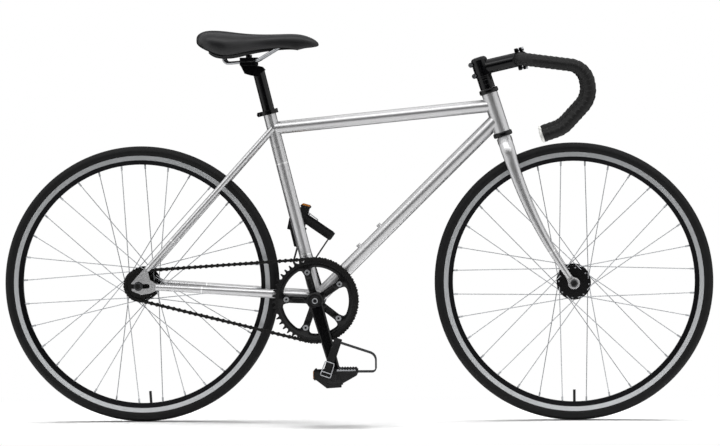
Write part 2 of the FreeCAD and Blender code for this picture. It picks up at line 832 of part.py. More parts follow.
def make_rear_triangle():
    chain_stays = []
    seat_stays = []
    dropouts = []
    for y_sign in (1, -1):
        end_plate = dropout(y_sign)
        dropouts.append(end_plate)
        stay = chain_stay_form(y_sign, 0, 0).cut(chain_stay_form(y_sign, stay_wall, stay_solid_end))
        stay = stay.cut(shell_core).cut(seat_core).cut(end_plate)
        chain_stays.append(max(stay.Solids, key=lambda solid: solid.Volume))
        stay = seat_stay_form(y_sign, 0, 0).cut(seat_stay_form(y_sign, stay_wall, stay_solid_end))
        stay = stay.cut(seat_core).cut(top_core).cut(end_plate)
        seat_stays.append(max(stay.Solids, key=lambda solid: solid.Volume))
    save("chain_stays", *chain_stays)
    save("seat_stays", *seat_stays)
    save("dropouts", *dropouts)


def at_reach(start, end, reach):
    """The point between start and end at this distance from the rear axle, seen from the side."""
    low, high = 0.0, 1.0
    for step in range(60):
        middle = (low + high) / 2
        point = start + (end - start) * middle
        if Vector(point.x - rear.x, 0, point.z - rear.z).Length < reach:
            low = middle
        else:
            high = middle
    return start + (end - start) * high


def make_bridges():
    """Cross tubes between the stays, each cut to the round of both stays."""
    low, high = seat_stay_ends(1)
    spot = at_reach(low, high, brake_bridge_reach)
    brake_bridge = rod(Vector(spot.x, -spot.y, spot.z), spot, brake_bridge_radius)
    run = (high - low).normalize()
    bolt_line = Vector(run.z, 0, -run.x)
    middle = Vector(spot.x, 0, spot.z)
    reach = bolt_line * (brake_bridge_radius * 2)
    brake_bridge = brake_bridge.cut(rod(middle - reach, middle + reach, brake_bolt_radius))
    shell_end, plate_end = chain_stay_ends(1)
    spot = at_reach(plate_end, shell_end, chain_bridge_reach)
    chain_bridge = rod(Vector(spot.x, -spot.y, spot.z), spot, chain_bridge_radius)
    for y_sign in (1, -1):
        brake_bridge = brake_bridge.cut(seat_stay_form(y_sign, 0, 0))
        chain_bridge = chain_bridge.cut(chain_stay_form(y_sign, 0, 0))
    save("stay_bridges", brake_bridge, chain_bridge)


def make_collar():
    top = seat_tube_length + collar_above_tube
    foot = top - collar_height
    collar = rod(seat_point(foot), seat_point(top), collar_radius)
    ear = Part.makeBox(collar_ear_reach, 2 * collar_ear_half_width, collar_height)
    ear.Placement = FreeCAD.Placement(seat_point(foot, -collar_ear_reach, -collar_ear_half_width),
                                      Rotation(side, seat_angle - 90))
    collar = collar.fuse(ear).removeSplitter()
    slit = Part.makeBox(collar_ear_reach, collar_slit, collar_height * 3)
    slit.Placement = FreeCAD.Placement(seat_point(foot - collar_height, -collar_ear_reach, -collar_slit / 2),
                                       Rotation(side, seat_angle - 90))
    collar = collar.cut(rod(seat_point(foot), seat_point(top), seat_tube_radius)).cut(slit)
    centre = seat_point(foot + collar_height / 2, -collar_ear_reach + collar_bolt_head_radius)
    head_start = -collar_ear_half_width
    bolt = across(centre, head_start, collar_ear_half_width, collar_bolt_radius)
    head_end = head_start - collar_bolt_head_height
    bolt = bolt.fuse(across(centre, head_end, head_start, collar_bolt_head_radius))
    collar = collar.cut(bolt)
    socket = hex_bar(centre, head_end, head_start - socket_floor, collar_bolt_socket)
    save("seat_collar", collar, bolt.cut(socket).removeSplitter())


def make_headset():
    cups = []
    for foot, direction in ((head_bottom, -1), (head_top, 1)):
        ring = rod(steer_point(foot), steer_point(foot + direction * headset_cup_height), headset_cup_radius)
        edges = [edge for edge in ring.Edges if isinstance(edge.Curve, Part.Circle)]
        ring = ring.makeFillet(headset_cup_round, edges)
        skirt = rod(steer_point(foot), steer_point(foot - direction * headset_cup_skirt), headset_bore())
        low = steer_point(min(foot, foot + direction * headset_cup_height) - headset_cup_skirt)
        high = steer_point(max(foot, foot + direction * headset_cup_height) + headset_cup_skirt)
        cups.append(ring.fuse(skirt).cut(rod(low, high, steerer_radius + running_clearance)).removeSplitter())
    save("headset_cups", *cups)


def make_bracket_bearings():
    cups = []
    for y_sign in (1, -1):
        face = y_sign * shell_width / 2
        inner = y_sign * (shell_width / 2 - cup_depth)
        lip = y_sign * (shell_width / 2 + cup_flange)
        flange = across(bracket, face, lip, cup_flange_radius)
        cup = across(bracket, inner, face, shell_thread_radius).fuse(flange)
        cups.append(cup.cut(across(bracket, inner, lip, spindle_radius + spindle_clearance)).removeSplitter())
    save("bottom_bracket_cups", *cups)


def make_fork():
    top = fork_length - bearing_gap
    foot = fork_length - crown_drop
    half = crown_outer_half_width
    leg_inner = blade_top_spread - blade_top_half_width
    back = -crown_depth / 2

    def at(y, height):
        return steer_point(height, back, y)

    shoulder = crown_shoulder
    neck = steerer_radius + crown_neck_margin
    mid_y = neck + (half - neck) * crown_bow_out
    mid_height = top - (crown_drop - shoulder) * crown_bow_down
    outline = [
        Part.makeLine(at(-leg_inner, foot), at(-half, foot)),
        Part.makeLine(at(-half, foot), at(-half, foot + shoulder)),
        Part.Arc(at(-half, foot + shoulder), at(-mid_y, mid_height), at(-neck, top)).toShape(),
        Part.makeLine(at(-neck, top), at(neck, top)),
        Part.Arc(at(neck, top), at(mid_y, mid_height), at(half, foot + shoulder)).toShape(),
        Part.makeLine(at(half, foot + shoulder), at(half, foot)),
        Part.makeLine(at(half, foot), at(leg_inner, foot)),
        Part.Arc(at(leg_inner, foot), at(0, fork_length - crown_arch_drop), at(-leg_inner, foot)).toShape(),
    ]
    crown = Part.Face(Part.Wire(outline)).extrude(steer_ahead * crown_depth)
    steerer = rod(steer_point(top), steer_point(steerer_top - steerer_recess), steerer_radius)
    hollow_foot = steer_point(top + steerer_floor)
    steerer = steerer.cut(rod(hollow_foot, steer_point(steerer_top), steerer_radius - steerer_wall))
    bolt_height = fork_length - crown_arch_drop / 2
    bolt_start = steer_point(bolt_height, -crown_depth)
    bolt_hole = rod(bolt_start, steer_point(bolt_height, crown_depth), brake_bolt_radius)
    save("fork_crown_steerer", crown.fuse(steerer).cut(bolt_hole).removeSplitter())

    blades = []
    ends = []
    end_line = front_hub_width / 2 + fork_end_thickness / 2
    for y_sign in (1, -1):
        end_plate = fork_end(y_sign)
        shells = []
        for shrink in (0.0, blade_wall):
            sections = []
            for step in range(blade_steps + 1):
                share = step / blade_steps
                height = foot + (blade_end_height - foot) * share
                ahead = blade_sweep(height)
                spread = blade_top_spread + (end_line - blade_top_spread) * share
                slope = blade_sweep(height - 1.0) - ahead
                depth_axis = (steer_ahead + steer_up * slope).normalize()
                depth = blade_top_half_depth + (blade_tip_radius - blade_top_half_depth) * share
                width = blade_top_half_width + (blade_tip_radius - oval_margin - blade_top_half_width) * share
                centre = steer_point(height, ahead, y_sign * spread)
                sections.append(oval(centre, depth_axis, side, depth - shrink, width - shrink))
            shells.append(Part.makeLoft(sections, True, False))
        blade = shells[0].cut(shells[1]).cut(end_plate)
        blades.append(max(blade.Solids, key=lambda solid: solid.Volume))
        ends.append(end_plate)
    save("fork_blades", *blades)
    save("fork_ends", *ends)


def blade_sweep(height):
    """How far the blade has curved ahead of the steering axis at a height above the axle."""
    foot = fork_length - crown_drop
    return fork_rake * ((foot - height) / foot) ** blade_curve


def fork_end(y_sign):
    """A flat end plate round the front axle, its tab let into the blade."""
    inner = y_sign * front_hub_width / 2
    outer = y_sign * (front_hub_width / 2 + fork_end_thickness)
    tab_top = blade_end_height + fork_tab_height
    half = blade_tip_radius - fork_tab_inset
    flare = half + fork_tab_flare
    corners = [steer_point(0, fork_rake - fork_end_foot), steer_point(0, fork_rake + fork_end_foot),
               steer_point(blade_end_height, blade_sweep(blade_end_height) + flare),
               steer_point(tab_top, blade_sweep(tab_top) + half),
               steer_point(tab_top, blade_sweep(tab_top) - half),
               steer_point(blade_end_height, blade_sweep(blade_end_height) - flare)]
    points = [Vector(c.x, inner, c.z) for c in corners]
    body = Part.Face(Part.makePolygon(points + points[:1])).extrude(side * (outer - inner))
    body = body.fuse(across(front, inner, outer, fork_end_radius))
    half_slot = front_axle_radius + dropout_slot_clearance
    slot = Part.makeBox(half_slot * 2, front_hub_width * 2, fork_end_radius * 2)
    slot_corner = steer_point(-fork_end_radius * 2, fork_rake - half_slot, -front_hub_width)
    slot.Placement = FreeCAD.Placement(slot_corner,
                                       Rotation(side, head_angle - 90))
    slot = slot.fuse(across(front, -front_hub_width, front_hub_width, half_slot))
    return body.cut(slot).removeSplitter()


stem_rise = 90 - head_angle - stem_drop_angle
stem_ahead = Vector(math.cos(math.radians(stem_rise)), 0, math.sin(math.radians(stem_rise)))
stem_base = steer_point(stem_bottom + stem_clamp_height / 2)
bar_centre = stem_base + stem_ahead * stem_length
stem_frame = FreeCAD.Placement(bar_centre, Rotation(side, -stem_rise))


def in_stem_frame(shape):
    """Places a piece drawn about the bar centre, with X along the stem."""
    shape.Placement = stem_frame
    return shape


def make_stem():
    clamp_outer = bar_radius + bar_clamp_wall
    ear = bar_clamp_ear
    ear_top = bar_clamp_bolt_height + stem_bolt_head_radius
    gap = bar_clamp_gap / 2
    far = clamp_outer * 2

    def jaw(x_sign):
        solid = across(Vector(0, 0, 0), -bar_clamp_width / 2, bar_clamp_width / 2, clamp_outer)
        start = gap if x_sign > 0 else -gap - ear
        ears = Part.makeBox(ear, bar_clamp_width, ear_top * 2, Vector(start, -bar_clamp_width / 2, -ear_top))
        keep = Part.makeBox(far, bar_clamp_width, far * 2,
                            Vector(gap if x_sign > 0 else -gap - far, -bar_clamp_width / 2, -far))
        return solid.common(keep).fuse(ears)

    bolts = []
    for y in (-bar_clamp_bolt_spacing / 2, bar_clamp_bolt_spacing / 2):
        for z in (-bar_clamp_bolt_height, bar_clamp_bolt_height):
            shank = rod(Vector(-gap - ear, y, z), Vector(gap + ear, y, z), stem_bolt_radius)
            seat = Vector(gap + ear, y, z)
            head = rod(seat, seat + Vector(stem_bolt_head_height, 0, 0), stem_bolt_head_radius)
            bolts.append(in_stem_frame(shank.fuse(head).removeSplitter()))
    bar_core = across(bar_centre, -bar_clamp_width, bar_clamp_width, bar_radius)
    faceplate = in_stem_frame(jaw(1)).cut(bar_core)
    body = rod(steer_point(stem_bottom), steer_point(steerer_top), stem_clamp_radius)
    body = body.fuse(rod(stem_base, bar_centre - stem_ahead * gap, stem_tube_radius))
    rear_ear = Part.makeBox(stem_ear_reach, stem_ear_half_width * 2, stem_clamp_height)
    rear_ear.Placement = FreeCAD.Placement(steer_point(stem_bottom, -stem_ear_reach, -stem_ear_half_width),
                                           Rotation(side, head_angle - 90))
    slit = Part.makeBox(stem_ear_reach, stem_slit, stem_clamp_height)
    slit.Placement = FreeCAD.Placement(steer_point(stem_bottom, -stem_ear_reach, -stem_slit / 2),
                                       Rotation(side, head_angle - 90))
    body = body.multiFuse([rear_ear, in_stem_frame(jaw(-1))])
    steerer_core = rod(steer_point(stem_bottom), steer_point(steerer_top), steerer_radius)
    body = body.cut(steerer_core).cut(bar_core).cut(slit)
    for height in (-stem_bolt_spacing / 2, stem_bolt_spacing / 2):
        middle = stem_bottom + stem_clamp_height / 2
        spot = steer_point(middle + height, -stem_ear_reach + stem_bolt_head_radius)
        shank = across(spot, -stem_ear_half_width, stem_ear_half_width, stem_bolt_radius)
        head_end = -stem_ear_half_width - stem_bolt_head_height
        head = across(spot, head_end, -stem_ear_half_width, stem_bolt_head_radius)
        bolts.append(shank.fuse(head).removeSplitter())
    every_bolt = Part.makeCompound(bolts)
    save("stem", body.cut(every_bolt).removeSplitter())
    save("stem_faceplate", faceplate.cut(every_bolt).removeSplitter())
    save("stem_bolts", *bolts)
    spacers = []
    foot = spacer_bottom + bearing_gap
    for height in spacer_heights:
        spacers.append(pipe(steer_point(foot), steer_point(foot + height), spacer_radius, steerer_radius))
        foot += height
    save("headset_spacers", *spacers)
    cap = rod(steer_point(steerer_top), steer_point(steerer_top + top_cap_height), spacer_radius)
    rims = [edge for edge in cap.Edges if isinstance(edge.Curve, Part.Circle)]
    upper_rim = max(rims, key=lambda edge: edge.CenterOfMass.z)
    cap = cap.makeFillet(top_cap_round, [upper_rim])
    plug_foot = steer_point(steerer_top - top_cap_plug)
    plug = rod(plug_foot, steer_point(steerer_top), steerer_radius - steerer_wall)
    socket_foot = steer_point(steerer_top + top_cap_floor)
    socket = rod(socket_foot, steer_point(steerer_top + top_cap_height), stem_bolt_head_radius)
    save("headset_top_cap", cap.fuse(plug).cut(socket).removeSplitter())


# Drop bar corners ahead of and below the bar centre, and the bend at each
bar_corners = [(141.0, -19.0, 45.0), (152.0, -86.0, 55.0), (91.0, -152.0, 60.0), (44.0, -168.0, 0.0)]


def bar_points(y_sign, start):
    """Corner points of one side of the bar from a distance off centre to its end."""
    points = [bar_centre + side * (y_sign * start), bar_centre + side * (y_sign * bar_half_width)]
    for ahead, rise, bend in bar_corners:
        points.append(bar_centre + Vector(ahead, y_sign * bar_half_width, rise))
    radii = [bar_top_bend] + [bend for ahead, rise, bend in bar_corners[:-1]]
    return points, radii


def make_handlebar():
    left, radii = bar_points(1, 0)
    right = bar_points(-1, 0)[0]
    points = left[:0:-1] + right[1:]
    bends = radii[::-1] + radii
    bar = swept_rod(points, bends, bar_radius).cut(swept_rod(points, bends, bar_radius - bar_wall))
    save("handlebar", bar)
    tapes = []
    plugs = []
    for y_sign in (1, -1):
        taped, bends = bar_points(y_sign, tape_start)
        cover = swept_rod(taped, bends, bar_radius + tape_thickness)
        tapes.append(cover.cut(swept_rod(taped, bends, bar_radius)))
        run = (taped[-1] - taped[-2]).normalize()
        end = taped[-1]
        head = rod(end, end + run * plug_head, bar_radius + tape_thickness)
        plugs.append(head.fuse(rod(end - run * plug_depth, end, bar_radius - bar_wall)).removeSplitter())
    save("bar_tape", *tapes)
    save("bar_plugs", *plugs)


# Rail clamp centre, behind the seat tube's line
rail_centre = seat_point(saddle_height) - Vector(saddle_setback, 0, 0)

# Saddle stations from tail to nose: distance ahead of the clamp, half width, top and underside
saddle_stations = [(-115.0, 26.0, 55.0, 43.0), (-106.0, 50.0, 66.0, 34.0), (-84.0, 67.0, 70.0, 22.0),
                   (-52.0, 68.0, 68.0, 10.0), (-15.0, 52.0, 63.0, 16.0), (25.0, 32.0, 60.0, 24.0),
                   (70.0, 22.0, 60.5, 29.0), (110.0, 20.0, 60.0, 28.0), (140.0, 15.0, 52.0, 29.0),
                   (157.0, 7.0, 39.0, 32.0)]


# Rail corners ahead of the clamp centre, their rise and half spacing
rail_corners = [(-62.0, 24.0, rail_spread), (-51.0, -3.4, rail_spread), (19.0, 1.3, rail_spread),
                (84.0, 40.0, rail_nose_spread)]
rail_bends = [10.0, 30.0]

# Post head outline ahead of and above the clamp centre
jaw_foot = -clamp_jaw - clamp_half_gap
post_head_outline = [(-18.0, jaw_foot), (-9.0, -27.0), (4.0, -31.0), (20.0, -34.0), (36.0, -19.0),
                     (30.0, -12.0), (17.0, jaw_foot)]

# Shares of a saddle section: foot and brow widths, brow drop and waist height
saddle_foot = 0.86
saddle_brow = 0.8
saddle_brow_drop = 0.2
saddle_waist = 0.45


def saddle_section(ahead, half, top, bottom):
    """A crowned section with drawn-in sides, flat underneath."""

    def at(y, z):
        return rail_centre + Vector(ahead, y, z)

    tall = top - bottom
    foot = half * saddle_foot
    brow = half * saddle_brow
    brow_height = top - tall * saddle_brow_drop
    waist_height = bottom + tall * saddle_waist
    return Part.Wire([
        Part.makeLine(at(-foot, bottom), at(foot, bottom)),
        Part.Arc(at(foot, bottom), at(half, waist_height), at(brow, brow_height)).toShape(),
        Part.Arc(at(brow, brow_height), at(0, top), at(-brow, brow_height)).toShape(),
        Part.Arc(at(-brow, brow_height), at(-half, waist_height), at(-foot, bottom)).toShape(),
    ])


def make_saddle():
    cover = Part.makeLoft([saddle_section(*station) for station in saddle_stations], True, False)
    hollow = []
    for ahead, half, top, bottom in saddle_stations[2:-2]:
        width = half - saddle_padding
        hollow.append(saddle_section(ahead, width, bottom + saddle_pocket, bottom - saddle_pocket))
    pocket = Part.makeLoft(hollow, True, False)
    lowered = pocket.translated(Vector(0, 0, -saddle_base_thickness))
    cover = cover.cut(pocket)
    base = pocket.cut(lowered)
    base = max(base.Solids, key=lambda solid: solid.Volume)
    rails = []
    for y_sign in (1, -1):
        points = [rail_centre + Vector(ahead, y_sign * spread, rise) for ahead, rise, spread in rail_corners]
        rail = swept_rod(points, rail_bends, rail_radius).cut(base).cut(cover)
        rails.append(max(rail.Solids, key=lambda solid: solid.Volume))
    save("saddle_cover", cover)
    save("saddle_base", base)
    save("saddle_rails", *rails)

    def block(z0, z1):
        return Part.makeBox(clamp_length, clamp_half_width * 2, z1 - z0,
                            rail_centre + Vector(-clamp_length / 2, -clamp_half_width, z0))

    both_rails = Part.makeCompound(rails)
    head_foot = rail_centre - Vector(0, 0, jaw_foot)
    bolt = rod(rail_centre - Vector(0, 0, clamp_bolt_reach), head_foot, clamp_bolt_radius)
    bolt = bolt.fuse(rod(head_foot, head_foot + Vector(0, 0, clamp_bolt_head_height), clamp_bolt_head_radius))
    lower = block(jaw_foot, -clamp_half_gap).cut(both_rails).cut(bolt)
    upper = block(clamp_half_gap, -jaw_foot).cut(both_rails).cut(bolt)
    save("saddle_clamp", lower, upper, bolt.removeSplitter())
    head = plate(rail_centre, post_head_outline, -post_radius, post_radius)
    post_foot = seat_tube_length - post_insertion
    post_top = saddle_height - post_head_drop
    post = rod(seat_point(post_foot), seat_point(post_top), post_radius)
    hollow_top = seat_point(post_top - post_solid_top)
    post = post.cut(rod(seat_point(post_foot), hollow_top, post_radius - post_wall))
    save("seatpost", post.fuse(head).cut(bolt).removeSplitter())


def make_bracket_spindle():
    tip = shell_width / 2 + crank_boss_width
    inner = shell_width / 2 + cup_flange + spindle_shoulder_gap
    spindle = across(bracket, -inner, inner, spindle_radius)
    half = spindle_square / 2
    square = [(-half, -half), (half, -half), (half, half), (-half, half)]
    spindle = spindle.multiFuse([plate(bracket, square, y_sign * inner, y_sign * tip) for y_sign in (1, -1)])
    return spindle, square, tip


def make_cranks():
    boss_inner = shell_width / 2 + cup_flange + crank_boss_gap
    boss_outer = boss_inner + crank_boss_width
    spindle, square, tip = make_bracket_spindle()
    bolts = []
    for y_sign in (1, -1):
        seat = y_sign * (boss_outer - crank_cap_height)
        cap = across(bracket, seat, y_sign * boss_outer, crank_cap_radius)
        shank = across(bracket, seat, seat - y_sign * crank_bolt_depth, crank_bolt_radius)
        socket = hex_bar(bracket, seat + y_sign * socket_floor, y_sign * boss_outer, hex_socket_radius * 2)
        bolts.append(cap.fuse(shank).cut(socket).removeSplitter())
        spindle = spindle.cut(shank)
    save("crank_bolts", *bolts)
    save("bottom_bracket_spindle", spindle.removeSplitter())

    ring_inner = chain_line - tooth_thickness / 2
    ring_outer = chain_line + tooth_thickness / 2
    arms = (("right_crank_arm", -1, crank_angle), ("left_crank_arm", 1, crank_angle + 180))
    for name, y_sign, angle in arms:
        eye = polar(bracket, crank_length, angle)
        eye_inner = crank_outer_offset - crank_thickness
        crank = across(bracket, y_sign * boss_inner, y_sign * boss_outer, crank_boss_radius)
        crank = crank.fuse(across(eye, y_sign * eye_inner, y_sign * crank_outer_offset, crank_eye_radius))
        run = (eye - bracket).normalize()
        flat = Vector(-run.z, 0, run.x)
        sections = []
        middle_root = boss_outer - crank_thickness / 2
        middle_tip = crank_outer_offset - crank_thickness / 2
        for spot, width, y in ((bracket, crank_root_width, middle_root), (eye, crank_tip_width, middle_tip)):
            corners = []
            for along, out in ((-1, -1), (1, -1), (1, 1), (-1, 1)):
                level = y_sign * (y + out * crank_thickness / 2)
                corners.append(spot + flat * (along * width / 2) + side * level)
            sections.append(Part.makePolygon(corners + corners[:1]))
        arm = Part.makeLoft(sections, True, True)
        crank = crank.fuse(arm)
        if y_sign < 0:
            for number in range(spider_arms):
                arm_angle = angle + (number + 0.5) * 360 / spider_arms
                crank = crank.fuse(spider_arm(arm_angle, ring_inner))
        hole = plate(bracket, square, y_sign * boss_inner, y_sign * boss_outer)
        recess_floor = y_sign * (boss_outer - crank_cap_height)
        recess = across(bracket, recess_floor, y_sign * (boss_outer + crank_thickness), crank_cap_radius)
        thread = across(eye, y_sign * eye_inner, y_sign * crank_outer_offset, pedal_thread_radius)
        crank = crank.cut(hole).cut(recess).cut(thread)
        for number in range(spider_arms if y_sign < 0 else 0):
            spot = polar(bracket, bolt_circle_radius, angle + (number + 0.5) * 360 / spider_arms)
            crank = crank.cut(across(spot, -ring_inner, spider_thickness - ring_inner, chainring_bolt_radius))
        save(name, crank.removeSplitter())

    ring = sprocket(bracket, chainring_teeth, ring_phase)
    band_inner = ring_pitch_radius - chainring_band
    ring = ring.cut(across(bracket, -ring_outer, -ring_inner, band_inner))
    chainring_bolts = []
    for number in range(spider_arms):
        turn = crank_angle + 180 / spider_arms + number * 360 / spider_arms
        spot = polar(bracket, bolt_circle_radius, turn)
        reach = math.radians(turn)
        outward = Vector(math.cos(reach), 0, math.sin(reach))
        along = Vector(-outward.z, 0, outward.x)
        base = bracket + outward * (band_inner + chainring_tab_lap) - side * ring_outer
        tab_foot = spot - side * ring_outer
        points = [base - along * chainring_tab_root, tab_foot - along * chainring_tab_radius,
                  tab_foot + along * chainring_tab_radius, base + along * chainring_tab_root]
        tab = Part.Face(Part.makePolygon(points + points[:1])).extrude(side * tooth_thickness)
        tab = tab.fuse(across(spot, -ring_outer, -ring_inner, chainring_tab_radius))
        ring = ring.fuse(tab).cut(across(spot, -ring_outer, -ring_inner, chainring_bolt_radius))
        spider_face = spider_thickness - ring_inner
        bolt = across(spot, -ring_outer, spider_face, chainring_bolt_radius)
        for start, sign in ((-ring_outer, -1), (spider_face, 1)):
            end = start + sign * chainring_bolt_head_height
            flange = across(spot, start, end, chainring_bolt_head_radius)
            bolt = bolt.fuse(flange)
        socket = hex_bar(spot, -ring_outer - chainring_bolt_head_height, -ring_inner, chainring_bolt_radius)
        chainring_bolts.append(bolt.cut(socket).removeSplitter())
    save("chainring", ring.removeSplitter())
    save("chainring_bolts", *chainring_bolts)


def spider_arm(turn, ring_inner):
    """A tapered arm from the crank boss to a chainring bolt."""
    reach = math.radians(turn)
    outward = Vector(math.cos(reach), 0, math.sin(reach))
    along = Vector(-outward.z, 0, outward.x)
    foot = bracket - side * ring_inner + outward * (crank_boss_radius / 2)
    tip = bracket - side * ring_inner + outward * bolt_circle_radius
    points = [foot - along * spider_arm_root / 2, tip - along * spider_arm_tip / 2,
              tip + along * spider_arm_tip / 2, foot + along * spider_arm_root / 2]
    arm = Part.Face(Part.makePolygon(points + points[:1])).extrude(side * spider_thickness)
    return arm.fuse(Part.makeCylinder(spider_arm_tip / 2, spider_thickness, tip, side))


def pedal_pieces(centre):
    """Right-hand pedal pieces about the crank eye: axle, body, clip, strap and buckle."""
    face = crank_outer_offset
    body_inner = face + pedal_inner_gap
    body_outer = body_inner + pedal_width
    shaft_end = body_outer - pedal_axle_short
    axle = across(centre, crank_thickness - face, -face, pedal_thread_radius)
    axle = axle.fuse(across(centre, -face, -face - pedal_flange_width, pedal_flange_radius))
    axle = axle.fuse(across(centre, -face, -shaft_end, pedal_axle_radius)).removeSplitter()
    outline = [(-pedal_rear, pedal_top - pedal_edge_step), (-pedal_rear, -pedal_rear_foot),
               (-pedal_keel_half, -pedal_bottom), (pedal_keel_half, pedal_edge_step - pedal_bottom),
               (pedal_keel_half, -pedal_keel_step), (pedal_front, pedal_front_lip), (pedal_front, pedal_top),
               (0, pedal_top - pedal_edge_step / 2)]
    body = plate(centre, outline, -body_outer, -body_inner)
    rear_window = (-pedal_rear + pedal_rail, -pedal_barrel_half)
    front_window = (pedal_barrel_half, pedal_front - pedal_rail)
    for x0, x1 in (rear_window, front_window):
        window = [(x0, -pedal_bottom * 2), (x1, -pedal_bottom * 2), (x1, pedal_top * 2), (x0, pedal_top * 2)]
        body = body.cut(plate(centre, window, -body_outer + pedal_rail, -body_inner - pedal_rail))
    bore = across(centre, -body_inner, -shaft_end - pedal_bore_spare, pedal_axle_radius + running_clearance)
    middle = -(body_inner + body_outer) / 2

    def at(x, z):
        return Vector(centre.x + x, middle, centre.z + z)

    seat = pedal_top - clip_seat_drop
    route = [at(pedal_front, seat), at(clip_reach, seat), at(clip_reach, clip_top - clip_fall),
             at(clip_tail, clip_top)]
    path = bent_path(route, [clip_foot_bend, clip_toe_bend])
    half_clip = clip_width / 2
    corners = [route[0] + Vector(0, y, z) for y, z in
               ((-half_clip, -clip_thickness / 2), (half_clip, -clip_thickness / 2),
                (half_clip, clip_thickness / 2), (-half_clip, clip_thickness / 2))]
    clip = path.makePipeShell([Part.makePolygon(corners + corners[:1])], True, False)

    strap = strap_loop(centre, body_inner, body_outer)
    tilt = Rotation(side, strap_tilt)
    hub = Vector(centre.x - strap_setback, -body_outer - strap_thickness - strap_slack, centre.z)
    frame = Part.makeBox(buckle_width, buckle_thickness, buckle_height,
                         Vector(-buckle_width / 2, -buckle_thickness, 0))
    opening = Part.makeBox(buckle_width - 2 * buckle_bar, buckle_thickness, buckle_height - 2 * buckle_bar,
                           Vector(buckle_bar - buckle_width / 2, -buckle_thickness, buckle_bar))
    buckle = frame.cut(opening)
    buckle.Placement = FreeCAD.Placement(hub, tilt)
    body = body.cut(bore).cut(strap)
    body = max(body.Solids, key=lambda solid: solid.Volume)
    return axle, body, clip, strap, buckle


def strap_loop(centre, body_inner, body_outer):
    """A closed band round the pedal and over the clip, leaning forward."""
    inner_y = -body_inner + strap_slack / 2
    outer_y = -body_outer - strap_slack
    shapes = []
    for grow in (strap_thickness, 0.0):
        low = -strap_under - grow
        high = strap_top + grow
        near = inner_y + grow
        far = outer_y - grow
        slab = Part.makeBox(strap_width, near - far, high - low, Vector(-strap_width / 2, far, low))
        long_edges = [e for e in slab.Edges if abs(e.tangentAt(0).x) > 0.9]
        shapes.append(slab.makeFillet(strap_bend + grow, long_edges))
    band = shapes[0].cut(shapes[1])
    strap_seat = Vector(centre.x - strap_setback, 0, centre.z)
    band.Placement = FreeCAD.Placement(strap_seat, Rotation(side, strap_tilt))
    return band


def make_pedals():
    right_eye = polar(bracket, crank_length, crank_angle)
    left_eye = polar(bracket, crank_length, crank_angle + 180)
    right = pedal_pieces(right_eye)
    left = [mirrored(piece) for piece in pedal_pieces(left_eye)]
    save("pedal_axles", right[0], left[0])
    hanging = [piece.rotated(left_eye, side, left_pedal_turn) for piece in left[1:]]
    for name, pieces in (("right", right[1:]), ("left", hanging)):
        save(name + "_pedal_body", pieces[0])
        save(name + "_toe_clip", pieces[1])
        save(name + "_toe_strap", pieces[2], pieces[3])


os.makedirs("parts", exist_ok=True)
rear_spokes = make_wheel("rear", rear, rear_left_flange_offset, rear_right_flange_offset, rear_valve_angle)
front_spokes = make_wheel("front", front, front_flange_offset, front_flange_offset, front_valve_angle)
make_front_hub(front_spokes)
make_rear_hub(rear_spokes)
make_axle("front", front, front_axle_radius, front_hub_width, fork_end_thickness)
make_axle("rear", rear, rear_axle_radius, rear_hub_width, dropout_thickness)
make_front_triangle()
make_rear_triangle()
make_bridges()
make_collar()
make_headset()
make_bracket_bearings()
make_fork()
make_stem()
make_handlebar()
make_saddle()
make_cranks()
make_pedals()
make_chain()
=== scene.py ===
# %% [markdown]
# # A silver fixed gear bicycle
# The bicycle was built as solids first, and every tube, link and spoke is already in its place.
# This lesson dresses those solids: it gives each one the finish of the real material, and models anew
# the pieces that are soft, wrapped or finely shaped, such as the saddle, the bar tape and the straps.
# Everything is in metres, with +X forward, +Y to the rider's left and +Z up.

# %% Load the solids
import math

import bmesh
import bpy
from mathutils import Matrix, Vector


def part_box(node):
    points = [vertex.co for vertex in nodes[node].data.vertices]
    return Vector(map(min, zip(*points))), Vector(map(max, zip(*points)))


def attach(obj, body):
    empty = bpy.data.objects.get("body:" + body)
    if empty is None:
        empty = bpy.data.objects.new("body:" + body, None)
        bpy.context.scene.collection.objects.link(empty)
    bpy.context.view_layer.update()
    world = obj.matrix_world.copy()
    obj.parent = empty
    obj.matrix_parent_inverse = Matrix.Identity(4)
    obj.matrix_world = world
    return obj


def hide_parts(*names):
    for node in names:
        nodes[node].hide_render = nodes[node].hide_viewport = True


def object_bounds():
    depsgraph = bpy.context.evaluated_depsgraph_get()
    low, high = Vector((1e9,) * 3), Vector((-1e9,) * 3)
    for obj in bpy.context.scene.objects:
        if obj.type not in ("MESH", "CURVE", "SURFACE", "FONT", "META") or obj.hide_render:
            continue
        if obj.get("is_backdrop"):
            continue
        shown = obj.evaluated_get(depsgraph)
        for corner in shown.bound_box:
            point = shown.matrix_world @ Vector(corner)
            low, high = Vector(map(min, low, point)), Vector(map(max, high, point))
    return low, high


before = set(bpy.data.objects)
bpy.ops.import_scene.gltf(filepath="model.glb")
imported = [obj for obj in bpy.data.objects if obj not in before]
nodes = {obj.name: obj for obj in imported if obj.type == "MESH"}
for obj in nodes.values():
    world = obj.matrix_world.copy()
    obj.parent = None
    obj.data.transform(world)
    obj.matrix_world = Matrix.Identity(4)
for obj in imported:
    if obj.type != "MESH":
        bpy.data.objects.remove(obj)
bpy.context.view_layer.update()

# %% [markdown]
# ## Places that many pieces need
# The wheel centres, the bottom bracket and the two slanted axes are read from the solids or repeated
# from the drawing, so that a new piece lands where the solid that it dresses is.

# %% Shared places
MM = 0.001
AHEAD = Vector((1, 0, 0))
SIDE = Vector((0, 1, 0))
UP = Vector((0, 0, 1))


def middle(node):
    low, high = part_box(node)
    return (low + high) / 2


